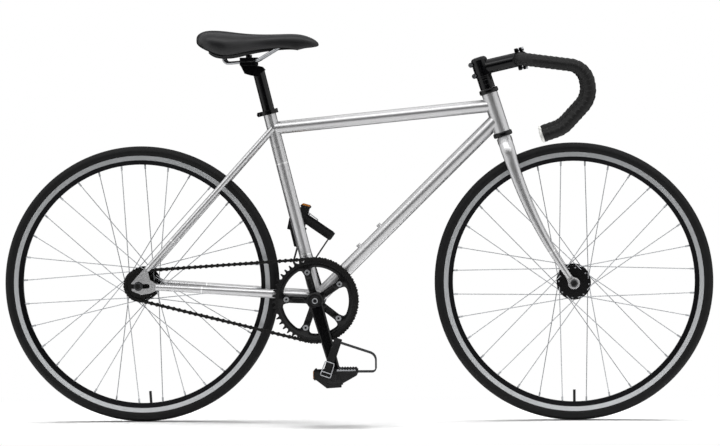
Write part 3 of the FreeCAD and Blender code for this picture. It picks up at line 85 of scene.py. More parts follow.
rear_hub_place = middle("rear_rim")
front_hub_place = middle("front_rim")
bracket_place = middle("bottom_bracket_shell")
seat_lean = math.radians(76.3)
head_lean = math.radians(72.4)
seat_up = Vector((-math.cos(seat_lean), 0, math.sin(seat_lean)))
steer_up = Vector((-math.cos(head_lean), 0, math.sin(head_lean)))
steer_ahead = Vector((math.sin(head_lean), 0, math.cos(head_lean)))
print("axles at", [round(v, 4) for v in rear_hub_place], [round(v, 4) for v in front_hub_place])

# %% [markdown]
# ## Helpers for colours and materials
# Colours are written as the sRGB hex codes that a paint chart shows, and the shader wants linear light,
# so one function converts them. Nodes could be added, set and linked in a line each. Here one function adds
# a node with its settings and links, and the shader's own sockets are filled in the same way. No real
# finish is quite even, so a cloud of noise varies each material's colour and roughness together.

# %% Colour and node helpers
TONE_LOW = 0.35
TONE_HIGH = 0.65


def colour(code):
    """An sRGB hex code as linear red, green, blue and alpha."""
    parts = [int(code[i:i + 2], 16) / 255 for i in (1, 3, 5)]
    return tuple(p / 12.92 if p <= 0.04045 else ((p + 0.055) / 1.055) ** 2.4 for p in parts) + (1.0,)


def fill(tree, node, sockets):
    """Sets a node's sockets. One that is given another node is linked to that node's first live output."""
    for name, value in dict(sockets).items():
        if isinstance(value, bpy.types.Node):
            value = next(output for output in value.outputs if output.enabled)
        if isinstance(value, bpy.types.NodeSocket):
            tree.links.new(value, node.inputs[name])
        else:
            node.inputs[name].default_value = value


def add(tree, kind, sockets=(), **settings):
    """Adds one node with its settings and links."""
    node = tree.nodes.new(kind)
    for name, value in settings.items():
        setattr(node, name, value)
    fill(tree, node, sockets)
    return node


def new_material(name, sockets):
    """A material with its constant values set straight on the shader. Gives back the material, its tree,
    its shader and the point in the shared frame that is being coloured."""
    material = bpy.data.materials.new(name)
    material.use_nodes = True
    tree = material.node_tree
    shader = tree.nodes["Principled BSDF"]
    fill(tree, shader, sockets)
    here = add(tree, "ShaderNodeTexCoord").outputs["Object"]
    return material, tree, shader, here


def mottle(tree, shader, here, grain, tones, rough, detail=3.0, jagged=0.5):
    """Varies colour and roughness with a cloud of noise of one grain size, and gives back the cloud."""
    cloud = add(tree, "ShaderNodeTexNoise", {"Vector": here, "Scale": 1 / grain, "Detail": detail,
                                             "Roughness": jagged})
    share = add(tree, "ShaderNodeMapRange", {"Value": cloud, "From Min": TONE_LOW, "From Max": TONE_HIGH})
    tone = add(tree, "ShaderNodeMix", {"Factor": share, "A": colour(tones[0]), "B": colour(tones[1])},
               data_type="RGBA")
    gloss = add(tree, "ShaderNodeMapRange", {"Value": cloud, "To Min": rough[0], "To Max": rough[1]})
    fill(tree, shader, {"Base Color": tone, "Roughness": gloss})
    return cloud


def finish_nodes(material, *names):
    """Gives solids their material."""
    for name in names:
        node = nodes[name]
        node.data.materials.clear()
        node.data.materials.append(material)


# %% [markdown]
# ## Silver metallic paint
# The tubes are painted: metal flakes in a clear binder under a clear coat. The flakes give a grainy
# sparkle that is finer than a pixel, so the grain here is drawn at 1.4 mm to show at all. The clear coat
# adds the sharp highlight along each tube. Thin white rings mark the stays, the fork and the seat tube.
# They could be separate sleeves, but paint has no thickness to speak of, so each ring is a band in the
# colour, measured along its tube's axis.

# %% Silver paint
FLAKE = 1.4 * MM
PEEL = 6 * MM
PEEL_DEPTH = 0.005 * MM
RING_WIDTH = 3.2 * MM
SEAT_TUBE_RINGS = (103 * MM, 314 * MM)


def silver_paint(name, rings=()):
    """Silver paint. Each ring is an axis and a point on the tube where the white band lies."""
    paint, tree, shader, here = new_material(name, {"Metallic": 0.85, "Coat Weight": 0.3,
                                                    "Coat Roughness": 0.14})
    mottle(tree, shader, here, FLAKE, tones=("#c4c4c5", "#d1d1d2"), rough=(0.28, 0.34), detail=2.0)
    tone = shader.inputs["Base Color"].links[0].from_node
    for axis, point in rings:
        along = add(tree, "ShaderNodeVectorMath", {0: here, 1: axis}, operation="DOT_PRODUCT")
        inside = add(tree, "ShaderNodeMath", {0: along, 1: axis.dot(point), 2: RING_WIDTH / 2},
                     operation="COMPARE")
        tone = add(tree, "ShaderNodeMix", {"Factor": inside, "A": tone, "B": colour("#f4f4f4")},
                   data_type="RGBA")
    peel = add(tree, "ShaderNodeTexNoise", {"Vector": here, "Scale": 1 / PEEL, "Detail": 3.0})
    bump = add(tree, "ShaderNodeBump", {"Height": peel, "Distance": PEEL_DEPTH, "Strength": 0.3})
    fill(tree, shader, {"Base Color": tone, "Normal": bump})
    return paint


plain_paint = silver_paint("silver metallic paint")
finish_nodes(plain_paint, "head_tube", "top_tube", "down_tube", "bottom_bracket_shell", "dropouts",
             "stay_bridges", "fork_ends", "bottle_bosses")
# Each ringed tube: its name, its axis and the places on it where a ring lies
ringed_tubes = {
    "seat_stays": ("seat stay", Vector((0.585, 0, 0.811)), [Vector((-0.409, 0, 0.411))]),
    "chain_stays": ("chain stay", Vector((0.9955, 0, -0.0953)), [Vector((-0.345, 0, 0.293))]),
    "fork_blades": ("fork", Vector((0.478, 0, -0.878)), [Vector((0.437, 0, 0.381))]),
    "seat_tube": ("seat tube", seat_up, [bracket_place + seat_up * reach for reach in SEAT_TUBE_RINGS]),
}
for node, (tube, axis, spots) in ringed_tubes.items():
    finish_nodes(silver_paint(f"silver paint with {tube} rings", [(axis, spot) for spot in spots]), node)
print("ringed tubes:", list(ringed_tubes))

# %% [markdown]
# ## Black anodised aluminium and black steel
# The stem, post, cranks, hubs and headset are aluminium with a dyed oxide layer: nearly black, with a
# silky highlight. The oxide hides the metal below it, so the shader isn't metallic. The chain, the cog and
# the axles are blackened steel, duller and slightly blotchy from oil. The solids' edges are sharp, and a
# machined edge is broken by about a millimetre. They could be bevelled one by one, but a Bevel node rounds
# them for the light alone and leaves the solids as they are.

# %% Black metals
EDGE = 1.0 * MM
OXIDE_DEPTH = 0.01 * MM
SCALE_DEPTH = 0.02 * MM


def black_metal(name, tones, grain, rough, specular=0.5, metallic=0.0, depth=OXIDE_DEPTH):
    metal, tree, shader, here = new_material(name, {"Specular IOR Level": specular, "Metallic": metallic})
    blot = mottle(tree, shader, here, grain, tones, rough, detail=4.0, jagged=0.6)
    soft_edge = add(tree, "ShaderNodeBevel", {"Radius": EDGE}, samples=6)
    bump = add(tree, "ShaderNodeBump", {"Height": blot, "Distance": depth, "Strength": 0.6,
                                        "Normal": soft_edge})
    fill(tree, shader, {"Normal": bump})
    return metal


anodised = black_metal("black anodised aluminium", tones=("#040405", "#08080a"), grain=3 * MM,
                       rough=(0.14, 0.2), specular=0.3)
satin_black = black_metal("satin black aluminium", tones=("#050506", "#0b0b0c"), grain=2 * MM,
                          rough=(0.22, 0.32), specular=0.35)
black_steel = black_metal("blackened steel", tones=("#0a0a0a", "#1c1b1a"), grain=4 * MM, rough=(0.32, 0.55),
                          metallic=0.6, depth=SCALE_DEPTH)
dark_grey_steel = black_metal("dark coated steel", tones=("#242527", "#343537"), grain=3 * MM,
                              rough=(0.34, 0.48))
finish_nodes(anodised, "headset_cups", "headset_spacers", "stem_faceplate", "seatpost", "front_hub",
             "rear_hub", "seat_collar", "saddle_clamp", "handlebar")
finish_nodes(satin_black, "chainring", "crank_bolts")
finish_nodes(black_steel, "chain_inner_links", "chain_outer_links", "cog", "lockring", "front_axle",
             "rear_axle")
finish_nodes(dark_grey_steel, "right_toe_clip", "left_toe_clip", "front_axle_nuts", "rear_axle_nuts")
print("black metals:", [metal.name for metal in (anodised, satin_black, black_steel, dark_grey_steel)])

# %% [markdown]
# ## Bright steel and the machined rims
# Spokes, bolts, spindle and saddle rails are drawn or turned stainless steel: pale, with a tight highlight.
# Each rim is black all over except for the brake track, a band 10 mm wide that a lathe cut bright, with
# fine rings left by the tool. The track could be a piece of its own, but it is the same metal, so the band
# is found by the distance from the axle and one material per wheel does both finishes. The tool rings are
# finer than a pixel and are drawn 1 mm apart.

# %% Bright steel
STREAK = 2 * MM
bright_steel, tree, shader, here = new_material("stainless steel", {"Metallic": 1.0})
mottle(tree, shader, here, STREAK, tones=("#9fa1a4", "#c3c5c8"), rough=(0.22, 0.36))
finish_nodes(bright_steel, "rear_spokes", "front_spokes", "bottom_bracket_spindle", "bottom_bracket_cups",
             "chainring_bolts", "pedal_axles", "saddle_rails", "stem_bolts")
print("bright:", bright_steel.name)

# %% Rims with a machined brake track
RIM_RADIUS = 289.5 * MM
TRACK = 10 * MM
TRACK_EDGE = 0.2 * MM
TOOL_RING = 1 * MM
TOOL_DEPTH = 0.02 * MM


def rim_finish(name, hub):
    rim, tree, shader, here = new_material(name, {"Metallic": 0.9})
    centred = add(tree, "ShaderNodeVectorMath", {0: here, 1: hub}, operation="SUBTRACT")
    flat = add(tree, "ShaderNodeVectorMath", {0: centred, 1: (1, 0, 1)}, operation="MULTIPLY")
    reach = add(tree, "ShaderNodeVectorMath", {0: flat}, operation="LENGTH")
    track = add(tree, "ShaderNodeMapRange", {"Value": reach, "From Min": RIM_RADIUS - TRACK - TRACK_EDGE,
                                             "From Max": RIM_RADIUS - TRACK + TRACK_EDGE})
    rings = add(tree, "ShaderNodeMath", {0: reach, 1: math.tau / TOOL_RING}, operation="MULTIPLY")
    wave = add(tree, "ShaderNodeMath", {0: rings}, operation="SINE")
    bright = add(tree, "ShaderNodeMix", {"Factor": wave, "A": colour("#c4c6c8"), "B": colour("#dadcde")},
                 data_type="RGBA")
    tone = add(tree, "ShaderNodeMix", {"Factor": track, "A": colour("#121214"), "B": bright},
               data_type="RGBA")
    gloss = add(tree, "ShaderNodeMapRange", {"Value": track, "To Min": 0.32, "To Max": 0.4})
    cut = add(tree, "ShaderNodeMath", {0: wave, 1: track}, operation="MULTIPLY")
    bump = add(tree, "ShaderNodeBump", {"Height": cut, "Distance": TOOL_DEPTH, "Strength": 0.6})
    fill(tree, shader, {"Base Color": tone, "Roughness": gloss, "Normal": bump})
    return rim


finish_nodes(rim_finish("rear rim, machined track", rear_hub_place), "rear_rim")
finish_nodes(rim_finish("front rim, machined track", front_hub_place), "front_rim")
print("rims: bright from", round(RIM_RADIUS - TRACK, 4), "to", RIM_RADIUS)

# %% [markdown]
# ## Rubber, plastic and leather
# The tyres are slick black rubber with a dull bloom, the valves are black, the pedals are moulded nylon
# and the saddle skin is a soft synthetic leather with a fine grain. Cork tape and woven straps are duller,
# and the plugs in the bar's ends are pale. All have a fine pebbled surface, so one function draws them:
# small cells for the pebbles, 0.8 to 1.2 mm so that they show, and a cloud for the uneven tone.

# %% Rubber, plastic and skins
CLOUD_PEBBLES = 12


def pebbled(name, tones, pebble, rough, depth, specular=0.5):
    skin, tree, shader, here = new_material(name, {"Specular IOR Level": specular})
    mottle(tree, shader, here, pebble * CLOUD_PEBBLES, tones, rough)
    cells = add(tree, "ShaderNodeTexVoronoi", {"Vector": here, "Scale": 1 / pebble})
    bump = add(tree, "ShaderNodeBump", {"Height": cells, "Distance": depth, "Strength": 1.0})
    fill(tree, shader, {"Normal": bump})
    return skin


tyre_rubber = pebbled("tyre rubber", tones=("#070708", "#0d0d0e"), pebble=1.2 * MM, rough=(0.5, 0.65),
                      depth=0.05 * MM, specular=0.22)
nylon = pebbled("moulded black nylon", tones=("#09090a", "#121213"), pebble=1.0 * MM, rough=(0.38, 0.54),
                depth=0.05 * MM, specular=0.3)
saddle_skin = pebbled("grained saddle leather", tones=("#09090b", "#111114"), pebble=1.1 * MM,
                      rough=(0.34, 0.44), depth=0.06 * MM)
tape_skin = pebbled("cork bar tape", tones=("#060606", "#0e0e0e"), pebble=0.9 * MM, rough=(0.42, 0.56),
                    depth=0.08 * MM, specular=0.32)
webbing = pebbled("woven nylon strap", tones=("#070708", "#101011"), pebble=0.8 * MM, rough=(0.6, 0.75),
                  depth=0.1 * MM, specular=0.25)
pale_plug = pebbled("pale plastic plug", tones=("#c9c9c6", "#dcdcd8"), pebble=1.0 * MM, rough=(0.35, 0.45),
                    depth=0.02 * MM)
finish_nodes(nylon, "right_pedal_body", "left_pedal_body", "saddle_base", "rear_inner_tube",
             "front_inner_tube")
print("materials so far:", len(bpy.data.materials))

# %% [markdown]
# ## Helpers for modelled pieces
# Each new piece starts as a small bmesh shape that is extruded, spun or bevelled. One function closes a
# piece: it merges doubled points, turns the faces outwards, makes the object, smooths its gentle edges
# and ties it to the body of the bicycle that it moves with.

# %% Piece helpers
DOUBLES = 0.001 * MM


def in_mm(pairs):
    """Pairs of millimetres as metres."""
    return [(first * MM, second * MM) for first, second in pairs]


def ellipse(across, up, count):
    """Places round an ellipse with the two half widths."""
    turns = [math.tau * k / count for k in range(count)]
    return [(across * math.cos(turn), up * math.sin(turn)) for turn in turns]


def make_piece(builder, name, material, body, replaced=(), crease=40):
    """Closes a bmesh into a named object that rides on a body and stands for the replaced solids."""
    bmesh.ops.remove_doubles(builder, verts=builder.verts, dist=DOUBLES)
    bmesh.ops.recalc_face_normals(builder, faces=builder.faces)
    for face in builder.faces:
        face.smooth = True
    for edge in builder.edges:
        if len(edge.link_faces) == 2 and edge.calc_face_angle(0) > math.radians(crease):
            edge.smooth = False
    mesh = bpy.data.meshes.new(name)
    builder.to_mesh(mesh)
    builder.free()
    piece = bpy.data.objects.new(name, mesh)
    bpy.context.scene.collection.objects.link(piece)
    mesh.materials.append(material)
    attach(piece, body)
    if replaced:
        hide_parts(*replaced)
    print(name, "faces:", len(mesh.polygons))
    return piece


def rounded_path(corners, bends, step):
    """Points every step or so along straight runs joined by arcs, one bend radius for each inner corner."""
    points = [corners[0]]
    for before, corner, after, bend in zip(corners, corners[1:], corners[2:], bends):
        back = (before - corner).normalized()
        ahead = (after - corner).normalized()
        half = back.angle(ahead) / 2
        trim = bend / math.tan(half)
        centre = corner + (back + ahead).normalized() * (bend / math.sin(half))
        start = corner + back * trim - centre
        sweep = math.pi - 2 * half
        turn_axis = start.cross(corner + ahead * trim - centre).normalized()
        count = max(2, round(bend * sweep / step))
        for number in range(count + 1):
            points.append(centre + Matrix.Rotation(sweep * number / count, 3, turn_axis) @ start)
    points.append(corners[-1])
    filled = [points[0]]
    for point in points[1:]:
        gap = (point - filled[-1]).length
        count = max(1, round(gap / step))
        start = filled[-1]
        filled.extend(start.lerp(point, number / count) for number in range(1, count + 1))
    return filled


def ring_edges(builder, loop):
    return [builder.edges.get((loop[k - 1], loop[k])) for k in range(len(loop))]


def sweep_loop(builder, points, upright, shape, closed=False):
    """Carries a loop of (across, up) places along a path by extrusion. A shape that changes on the way is
    a function of the point's number and the length run so far."""
    loop = None
    run = 0.0
    for number, point in enumerate(points):
        ahead = points[min(number + 1, len(points) - 1)]
        behind = points[max(number - 1, 0)]
        if closed:
            ahead = points[(number + 1) % len(points)]
            behind = points[number - 1]
        along = (ahead - behind).normalized()
        across = across - along * across.dot(along) if number else along.cross(upright)
        across.normalize()
        up = across.cross(along)
        run += (point - points[number - 1]).length if number else 0.0
        section = shape(number, run) if callable(shape) else shape
        if loop is None:
            loop = bmesh.ops.create_circle(builder, segments=len(section), radius=1.0)["verts"]
            first = loop
        else:
            grown = bmesh.ops.extrude_edge_only(builder, edges=ring_edges(builder, loop))["geom"]
            pairs = {}
            for vert in grown:
                if isinstance(vert, bmesh.types.BMVert):
                    pairs.update((edge.other_vert(vert), vert) for edge in vert.link_edges)
            loop = [pairs[vert] for vert in loop]
        for vert, (a, u) in zip(loop, section):
            vert.co = point + across * a + up * u
    if closed:
        bmesh.ops.bridge_loops(builder, edges=ring_edges(builder, loop) + ring_edges(builder, first))
    else:
        bmesh.ops.contextual_create(builder, geom=first)
        bmesh.ops.contextual_create(builder, geom=loop)


# %% [markdown]
# ## Tyres
# Each tyre is a slick: a round casing with a smooth tread, a fine groove on each side of the crown, a
# shoulder line where the tread rubber ends and a raised rib just above the rim. The solid is a plain ring.
# A lathe section spun round the axle makes all of these in one go, so that is how it is done: the section
# is a few dozen points, and the spin joins its end to its start.

# %% Tyres
TYRE_HALF = 12.5 * MM
TYRE_SEAT_HALF = 9.2 * MM
TYRE_CENTRE = RIM_RADIUS + math.sqrt(TYRE_HALF ** 2 - TYRE_SEAT_HALF ** 2)
TYRE_STEPS = 240
TYRE_SECTION = 112
# Angles from the crown in degrees, and the depth of each groove
GROOVES = {22: -0.5 * MM, 40: -0.35 * MM}
GROOVE_WIDTH = 2.5
SHOULDER = 44
SHOULDER_WIDTH = 6
RIB = 118
RIB_WIDTH = 5
TREAD_EDGE = 0.15 * MM
seat_angle = math.degrees(math.acos((RIM_RADIUS - TYRE_CENTRE) / TYRE_HALF))


def tyre_height(degrees):
    """How far the rubber stands from the round casing at an angle from the crown."""
    lift = 0.0
    for middle_angle, depth in GROOVES.items():
        lift += depth * max(0.0, 1 - abs(abs(degrees) - middle_angle) / GROOVE_WIDTH)
    lift -= TREAD_EDGE * min(1.0, max(0.0, (abs(degrees) - SHOULDER) / SHOULDER_WIDTH))
    lift += TREAD_EDGE * max(0.0, 1 - abs(abs(degrees) - RIB) / RIB_WIDTH)
    return lift


def spin_tyre(name, hub, body, node):
    builder = bmesh.new()
    previous = None
    for number in range(TYRE_SECTION + 1):
        degrees = seat_angle * (2 * number / TYRE_SECTION - 1)
        reach = TYRE_HALF + tyre_height(degrees)
        spot = hub + Vector((0, reach * math.sin(math.radians(degrees)),
                             TYRE_CENTRE + reach * math.cos(math.radians(degrees))))
        vert = bmesh.ops.create_vert(builder, co=spot)["vert"][0]
        if previous:
            bmesh.ops.contextual_create(builder, geom=[previous, vert])
        previous = vert
    bmesh.ops.spin(builder, geom=builder.verts[:] + builder.edges[:], cent=hub, axis=SIDE,
                   angle=math.tau, steps=TYRE_STEPS, use_merge=True)
    make_piece(builder, name, tyre_rubber, body, [node])


spin_tyre("rear_slick_tyre", rear_hub_place, "rear_wheel", "rear_tyre")
spin_tyre("front_slick_tyre", front_hub_place, "front_wheel", "front_tyre")

# %% [markdown]
# ## Bar tape
# Cork tape, 30 mm wide, is wound round the bar from the ends to the stem, each turn lapping most of the
# one before, so the surface steps down by the tape's thickness once a turn. It could be drawn as bump
# only, but the steps show on the outline of the drops. Here the tape is a round tube swept along the bar,
# and the radius of each point follows a saw tooth that turns round the bar as it runs along it.

# %% Bar tape
BAR_RADIUS = 11.9 * MM
TAPE_TOP = 2.0 * MM
LAP_STEP = 1.5 * MM
LAP_PITCH = 12.0 * MM
TAPE_START = 58 * MM
BAR_HALF = 195 * MM
BAR_TOP_BEND = 50 * MM
LAP_EDGE = 0.12
LAP_FALL = 0.85
TAPE_SEGMENTS = 40
TAPE_PATH_STEP = 1.5 * MM
PLUG_SHOWS = 4 * MM
bar_low, bar_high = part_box("handlebar")
bar_middle = Vector((bar_low.x + BAR_RADIUS, 0, bar_high.z - BAR_RADIUS))
# Each corner of the drop: ahead of the bar's middle, above it, and its bend, in millimetres
drop_corners = [(141, -19, 45), (152, -86, 55), (91, -152, 60), (44, -168, 0)]


def bar_route(sign):
    """The bar's centre line from the stem outwards, with its bend radii."""
    corners = [bar_middle, bar_middle + SIDE * (sign * BAR_HALF)]
    for ahead, up, bend in drop_corners:
        corners.append(bar_middle + Vector((ahead * MM, sign * BAR_HALF, up * MM)))
    return corners, [BAR_TOP_BEND] + [bend * MM for ahead, up, bend in drop_corners[:-1]]


def tape_loop(number, run):
    """One ring of the tape: each point's height falls from a lap's edge to the next lap."""
    places = []
    for k in range(TAPE_SEGMENTS):
        share = k / TAPE_SEGMENTS
        lap = (run / LAP_PITCH + share) % 1.0
        rise = min(1.0, lap / LAP_EDGE) * (1 - LAP_FALL * lap)
        reach = BAR_RADIUS + TAPE_TOP - LAP_STEP / 2 + LAP_STEP * rise
        places.append((reach * math.cos(math.tau * share), reach * math.sin(math.tau * share)))
    return places


builder = bmesh.new()
for sign in (1, -1):
    corners, bends = bar_route(sign)
    corners[0] = bar_middle + SIDE * (sign * TAPE_START)
    corners[-1] = corners[-1] + (corners[-2] - corners[-1]).normalized() * PLUG_SHOWS
    sweep_loop(builder, rounded_path(corners, bends, TAPE_PATH_STEP), UP, tape_loop)
make_piece(builder, "wound_bar_tape", tape_skin, "steering", ["bar_tape"], crease=60)

# %% [markdown]
# ## Finishing bands
# A band of cloth tape holds the end of the winding beside the stem. It could be a colour on the tape, but
# it stands out by its own thickness, so it is a short round sleeve swept along the bar.

# %% Finishing bands
BAND_THICK = 0.9 * MM
BAND_LAP = 3 * MM
BAND_STEP = 2 * MM
BAND_RINGS = 10
BAND_SEGMENTS = 48


band_reach = BAR_RADIUS + TAPE_TOP + BAND_THICK
builder = bmesh.new()
for sign in (1, -1):
    band = [bar_middle + SIDE * (sign * (TAPE_START - BAND_LAP + BAND_STEP * k)) for k in range(BAND_RINGS)]
    sweep_loop(builder, band, UP, ellipse(band_reach, band_reach, BAND_SEGMENTS))
make_piece(builder, "tape_finishing_bands", webbing, "steering")

# %% [markdown]
# ## The saddle
# A sports saddle is a moulded shell with foam and a stretched synthetic skin: broad wings behind, a long
# narrow nose that droops at its tip, and flanks that tuck in under the wings. The skin is drawn tight and
# glued, so it doesn't sag or wrinkle. Sections from tail to nose are joined by extrusion and smoothed by
# subdivision, which gives the soft highlight that runs along the flank.

# %% Saddle
RAIL_REACH = 549 * MM
RAIL_SETBACK = 16 * MM
rail_centre = bracket_place + seat_up * RAIL_REACH - Vector((RAIL_SETBACK, 0, 0))
# Distance ahead of the clamp, half width, top and underside, in millimetres
saddle_stations = [(-116.0, 18, 54, 44), (-113.5, 34, 60, 39), (-106, 50, 66, 33), (-96, 61, 69.3, 27.5),
                   (-84, 67, 70.5, 22), (-68, 69, 70, 15), (-52, 68, 68.5, 10.5), (-34, 61, 66, 12.5),
                   (-15, 52, 63.5, 17), (5, 41, 61.6, 21.5), (25, 32.5, 60.6, 25), (48, 26, 60.2, 28),
                   (70, 22.5, 60.6, 29.5), (92, 21, 61, 28.5), (101, 20.5, 60.6, 25.5), (110, 20, 60, 24.5),
                   (119, 19, 58.7, 27), (126, 18, 57, 28.5),
                   (140, 15, 52, 29.5), (150, 11.5, 46, 31), (157, 7, 39.5, 33)]
# Shares of the half width and of the height, from the middle underneath round to the middle on top
saddle_half = [(0.5, 0.0), (0.84, 0.0), (0.95, 0.07), (1.0, 0.3), (1.01, 0.5), (0.97, 0.68), (0.87, 0.83),
               (0.7, 0.93), (0.42, 0.985), (0.0, 1.0)]
saddle_round = saddle_half + [(-w, h) for w, h in saddle_half[-2::-1]]


def saddle_loop(number, run):
    ahead, half, top, bottom = saddle_stations[number]
    return [(-half * w * MM, (bottom + (top - bottom) * h) * MM) for w, h in saddle_round]


builder = bmesh.new()
spine = [rail_centre + Vector((ahead * MM, 0, 0)) for ahead, half, top, bottom in saddle_stations]
sweep_loop(builder, spine, UP, saddle_loop)
saddle = make_piece(builder, "padded_saddle", saddle_skin, "seat", ["saddle_cover"],
                    crease=180)
rounding = saddle.modifiers.new("rounding", "SUBSURF")
rounding.levels = 2
rounding.render_levels = 2


# %% [markdown]
# ## Pedals: places and a shared turn
# Both pedals are the same, so each piece is made once about the crank's eye, with y running outwards, and
# then set on its side: the right one is mirrored across the bicycle, and the left one hangs with its clip
# down, turned as its solid is.

# %% Pedal places
CRANK = 169 * MM
CRANK_ANGLE = math.radians(-74.2)
LEFT_TURN = math.radians(106)
crank_reach = Vector((math.cos(CRANK_ANGLE), 0, math.sin(CRANK_ANGLE))) * CRANK
pedal_eyes = {"right": bracket_place + crank_reach, "left": bracket_place - crank_reach}


def pedal_piece(builder, side, kind, material, replaced=(), crease=30):
    """Sets a piece that was made about the eye on one of the pedals, and closes it."""
    if side == "right":
        bmesh.ops.scale(builder, vec=(1, -1, 1), verts=builder.verts)
    else:
        turn = Matrix.Rotation(LEFT_TURN, 3, "Y")
        bmesh.ops.rotate(builder, cent=(0, 0, 0), matrix=turn, verts=builder.verts)
    bmesh.ops.translate(builder, vec=pedal_eyes[side], verts=builder.verts)
    make_piece(builder, f"{side}_{kind}", material, f"{side}_pedal", replaced, crease)


print("pedal eyes:", {side: [round(v, 3) for v in eye] for side, eye in pedal_eyes.items()})

# %% [markdown]
# ## Toe straps and wire buckles
# A strap of laminated nylon, 16 mm wide and 2 mm thick, goes through the pedal, up both sides of the shoe
# and over the clip. Its end comes back through a bent wire buckle on the outside and lies along the strap.
# The strap could be a bent sheet, but it is stiff and held in place, so it is a flat section swept round a
# rounded rectangle that leans forward. The buckle is round wire swept the same way, with a roller across it.

# %% Toe straps
STRAP_LEAN = math.radians(19)
STRAP_SETBACK = 20 * MM
STRAP_BEND = 10 * MM
TAIL_BEND = 20 * MM
STRAP_STEP = 2 * MM
# Half the thickness and half the width, with the edges rounded off
STRAP_SECTION = in_mm(((1.0, 6.9), (0.5, 8.0), (-0.5, 8.0), (-1.0, 6.9),
                       (-1.0, -6.9), (-0.5, -8.0), (0.5, -8.0), (1.0, -6.9)))
# Outward and upward from the eye, in millimetres
STRAP_ROUND = ((107, -5), (139.4, -5), (139.4, 85), (74.8, 85), (74.8, -5), (107, -5))
STRAP_TAIL = ((141.6, 12), (141.6, 66), (146, 80))
lean = Matrix.Rotation(STRAP_LEAN, 3, "Y")
strap_normal = lean @ AHEAD


def on_strap(across, outward, up):
    """A point given in the strap's own leaning plane, in millimetres."""
    return lean @ Vector((across * MM, outward * MM, up * MM)) - AHEAD * STRAP_SETBACK


def toe_strap(side):
    builder = bmesh.new()
    around = rounded_path([on_strap(0, y, z) for y, z in STRAP_ROUND], [STRAP_BEND] * 4, STRAP_STEP)[:-1]
    sweep_loop(builder, around, strap_normal, STRAP_SECTION, closed=True)
    tail = rounded_path([on_strap(0, y, z) for y, z in STRAP_TAIL], [TAIL_BEND], STRAP_STEP)
    sweep_loop(builder, tail, strap_normal, STRAP_SECTION)
    pedal_piece(builder, side, "nylon_strap", webbing, [side + "_toe_strap"], crease=60)


# %% Wire buckles
WIRE = 1.2 * MM
WIRE_SECTION = ellipse(WIRE, WIRE, count=12)
WIRE_BEND = 3 * MM
WIRE_STEP = 1 * MM
BUCKLE_OUT = 143.6
# Forward and upward on the strap, in millimetres
BUCKLE_ROUND = ((0, 36), (10.2, 36), (11.6, 3), (-11.6, 3), (-10.2, 36), (0, 36))
ROLLER = ((-11.2, 12), (-5, 12), (5, 12), (11.2, 12))


def wire_buckle(side):
    builder = bmesh.new()
    corners = [on_strap(x, BUCKLE_OUT, z) for x, z in BUCKLE_ROUND]
    around = rounded_path(corners, [WIRE_BEND] * 4, WIRE_STEP)[:-1]
    sweep_loop(builder, around, SIDE, WIRE_SECTION, closed=True)
    sweep_loop(builder, [on_strap(x, BUCKLE_OUT, z) for x, z in ROLLER], SIDE, WIRE_SECTION)
    pedal_piece(builder, side, "wire_buckle", bright_steel, crease=40)


for side in pedal_eyes:
    toe_strap(side)
    wire_buckle(side)

# %% [markdown]
# ## Cage plates, reflectors and dust caps on the pedals
# Pressed steel plates with teeth stand along the front of each pedal to grip a shoe. A reflector in an
# amber lens closes the rear, in a black holder, and a cap covers the axle's outer end. The teeth could be
# small wedges, but a plate is one pressing, so every other point of a grid's top row is raised and the grid
# is given its thickness. The lens is clear plastic whose back is pressed into small pyramids, drawn here as
# 2.5 mm cells in the bump. The lens colour follows the same cells, lighter in the middle of each and darker
# towards its edges: painted light and painted shade of the prisms.

# %% Amber plastic
PYRAMID = 2.5 * MM
PYRAMID_DEPTH = 0.4 * MM
amber, tree, shader, here = new_material("amber reflector plastic", {"Roughness": 0.16, "IOR": 1.49,
                                                                     "Transmission Weight": 0.25})
cells = add(tree, "ShaderNodeTexVoronoi", {"Vector": here, "Scale": 1 / PYRAMID})
# Painted light and shade: the amber is lighter in each cell's middle and darker towards its edges
share = add(tree, "ShaderNodeMapRange", {"Value": cells, "From Min": 0.1, "From Max": 0.8})
tone = add(tree, "ShaderNodeMix", {"Factor": share, "A": colour("#b5761a"), "B": colour("#8f5208")},
           data_type="RGBA")
bump = add(tree, "ShaderNodeBump", {"Height": cells, "Distance": PYRAMID_DEPTH, "Strength": 1.0})
fill(tree, shader, {"Base Color": tone, "Normal": bump})
print("lens:", amber.name)

# %% Cage plates
PLATE_LENGTH = 42 * MM
PLATE_HEIGHT = 7 * MM
PLATE_THICK = 1.6 * MM
PLATE_PLACES = [Vector((27, outward, 12.5)) * MM for outward in (78, 134.4)]
TOOTH = 2.2 * MM
TOOTH_STEPS = 14


def cage_plates(side):
    builder = bmesh.new()
    for spot in PLATE_PLACES:
        plate = bmesh.ops.create_grid(builder, x_segments=TOOTH_STEPS, y_segments=2, size=0.5)["verts"]
        bmesh.ops.scale(builder, vec=(PLATE_LENGTH, PLATE_HEIGHT, 1), verts=plate)
        bmesh.ops.rotate(builder, matrix=Matrix.Rotation(math.pi / 2, 3, "X"), verts=plate)
        bmesh.ops.translate(builder, vec=spot, verts=plate)
        crest = max(vert.co.z for vert in plate)
        teeth = [vert for vert in plate if vert.co.z > crest - TOOTH / 2]
        teeth.sort(key=lambda vert: vert.co.x)
        bmesh.ops.translate(builder, vec=(0, 0, TOOTH), verts=teeth[1::2])
        faces = list({face for vert in plate for face in vert.link_faces})
        grown = bmesh.ops.extrude_face_region(builder, geom=faces)["geom"]
        moved = [item for item in grown if isinstance(item, bmesh.types.BMVert)]
        bmesh.ops.translate(builder, vec=SIDE * PLATE_THICK, verts=moved)
    pedal_piece(builder, side, "cage_plates", bright_steel)


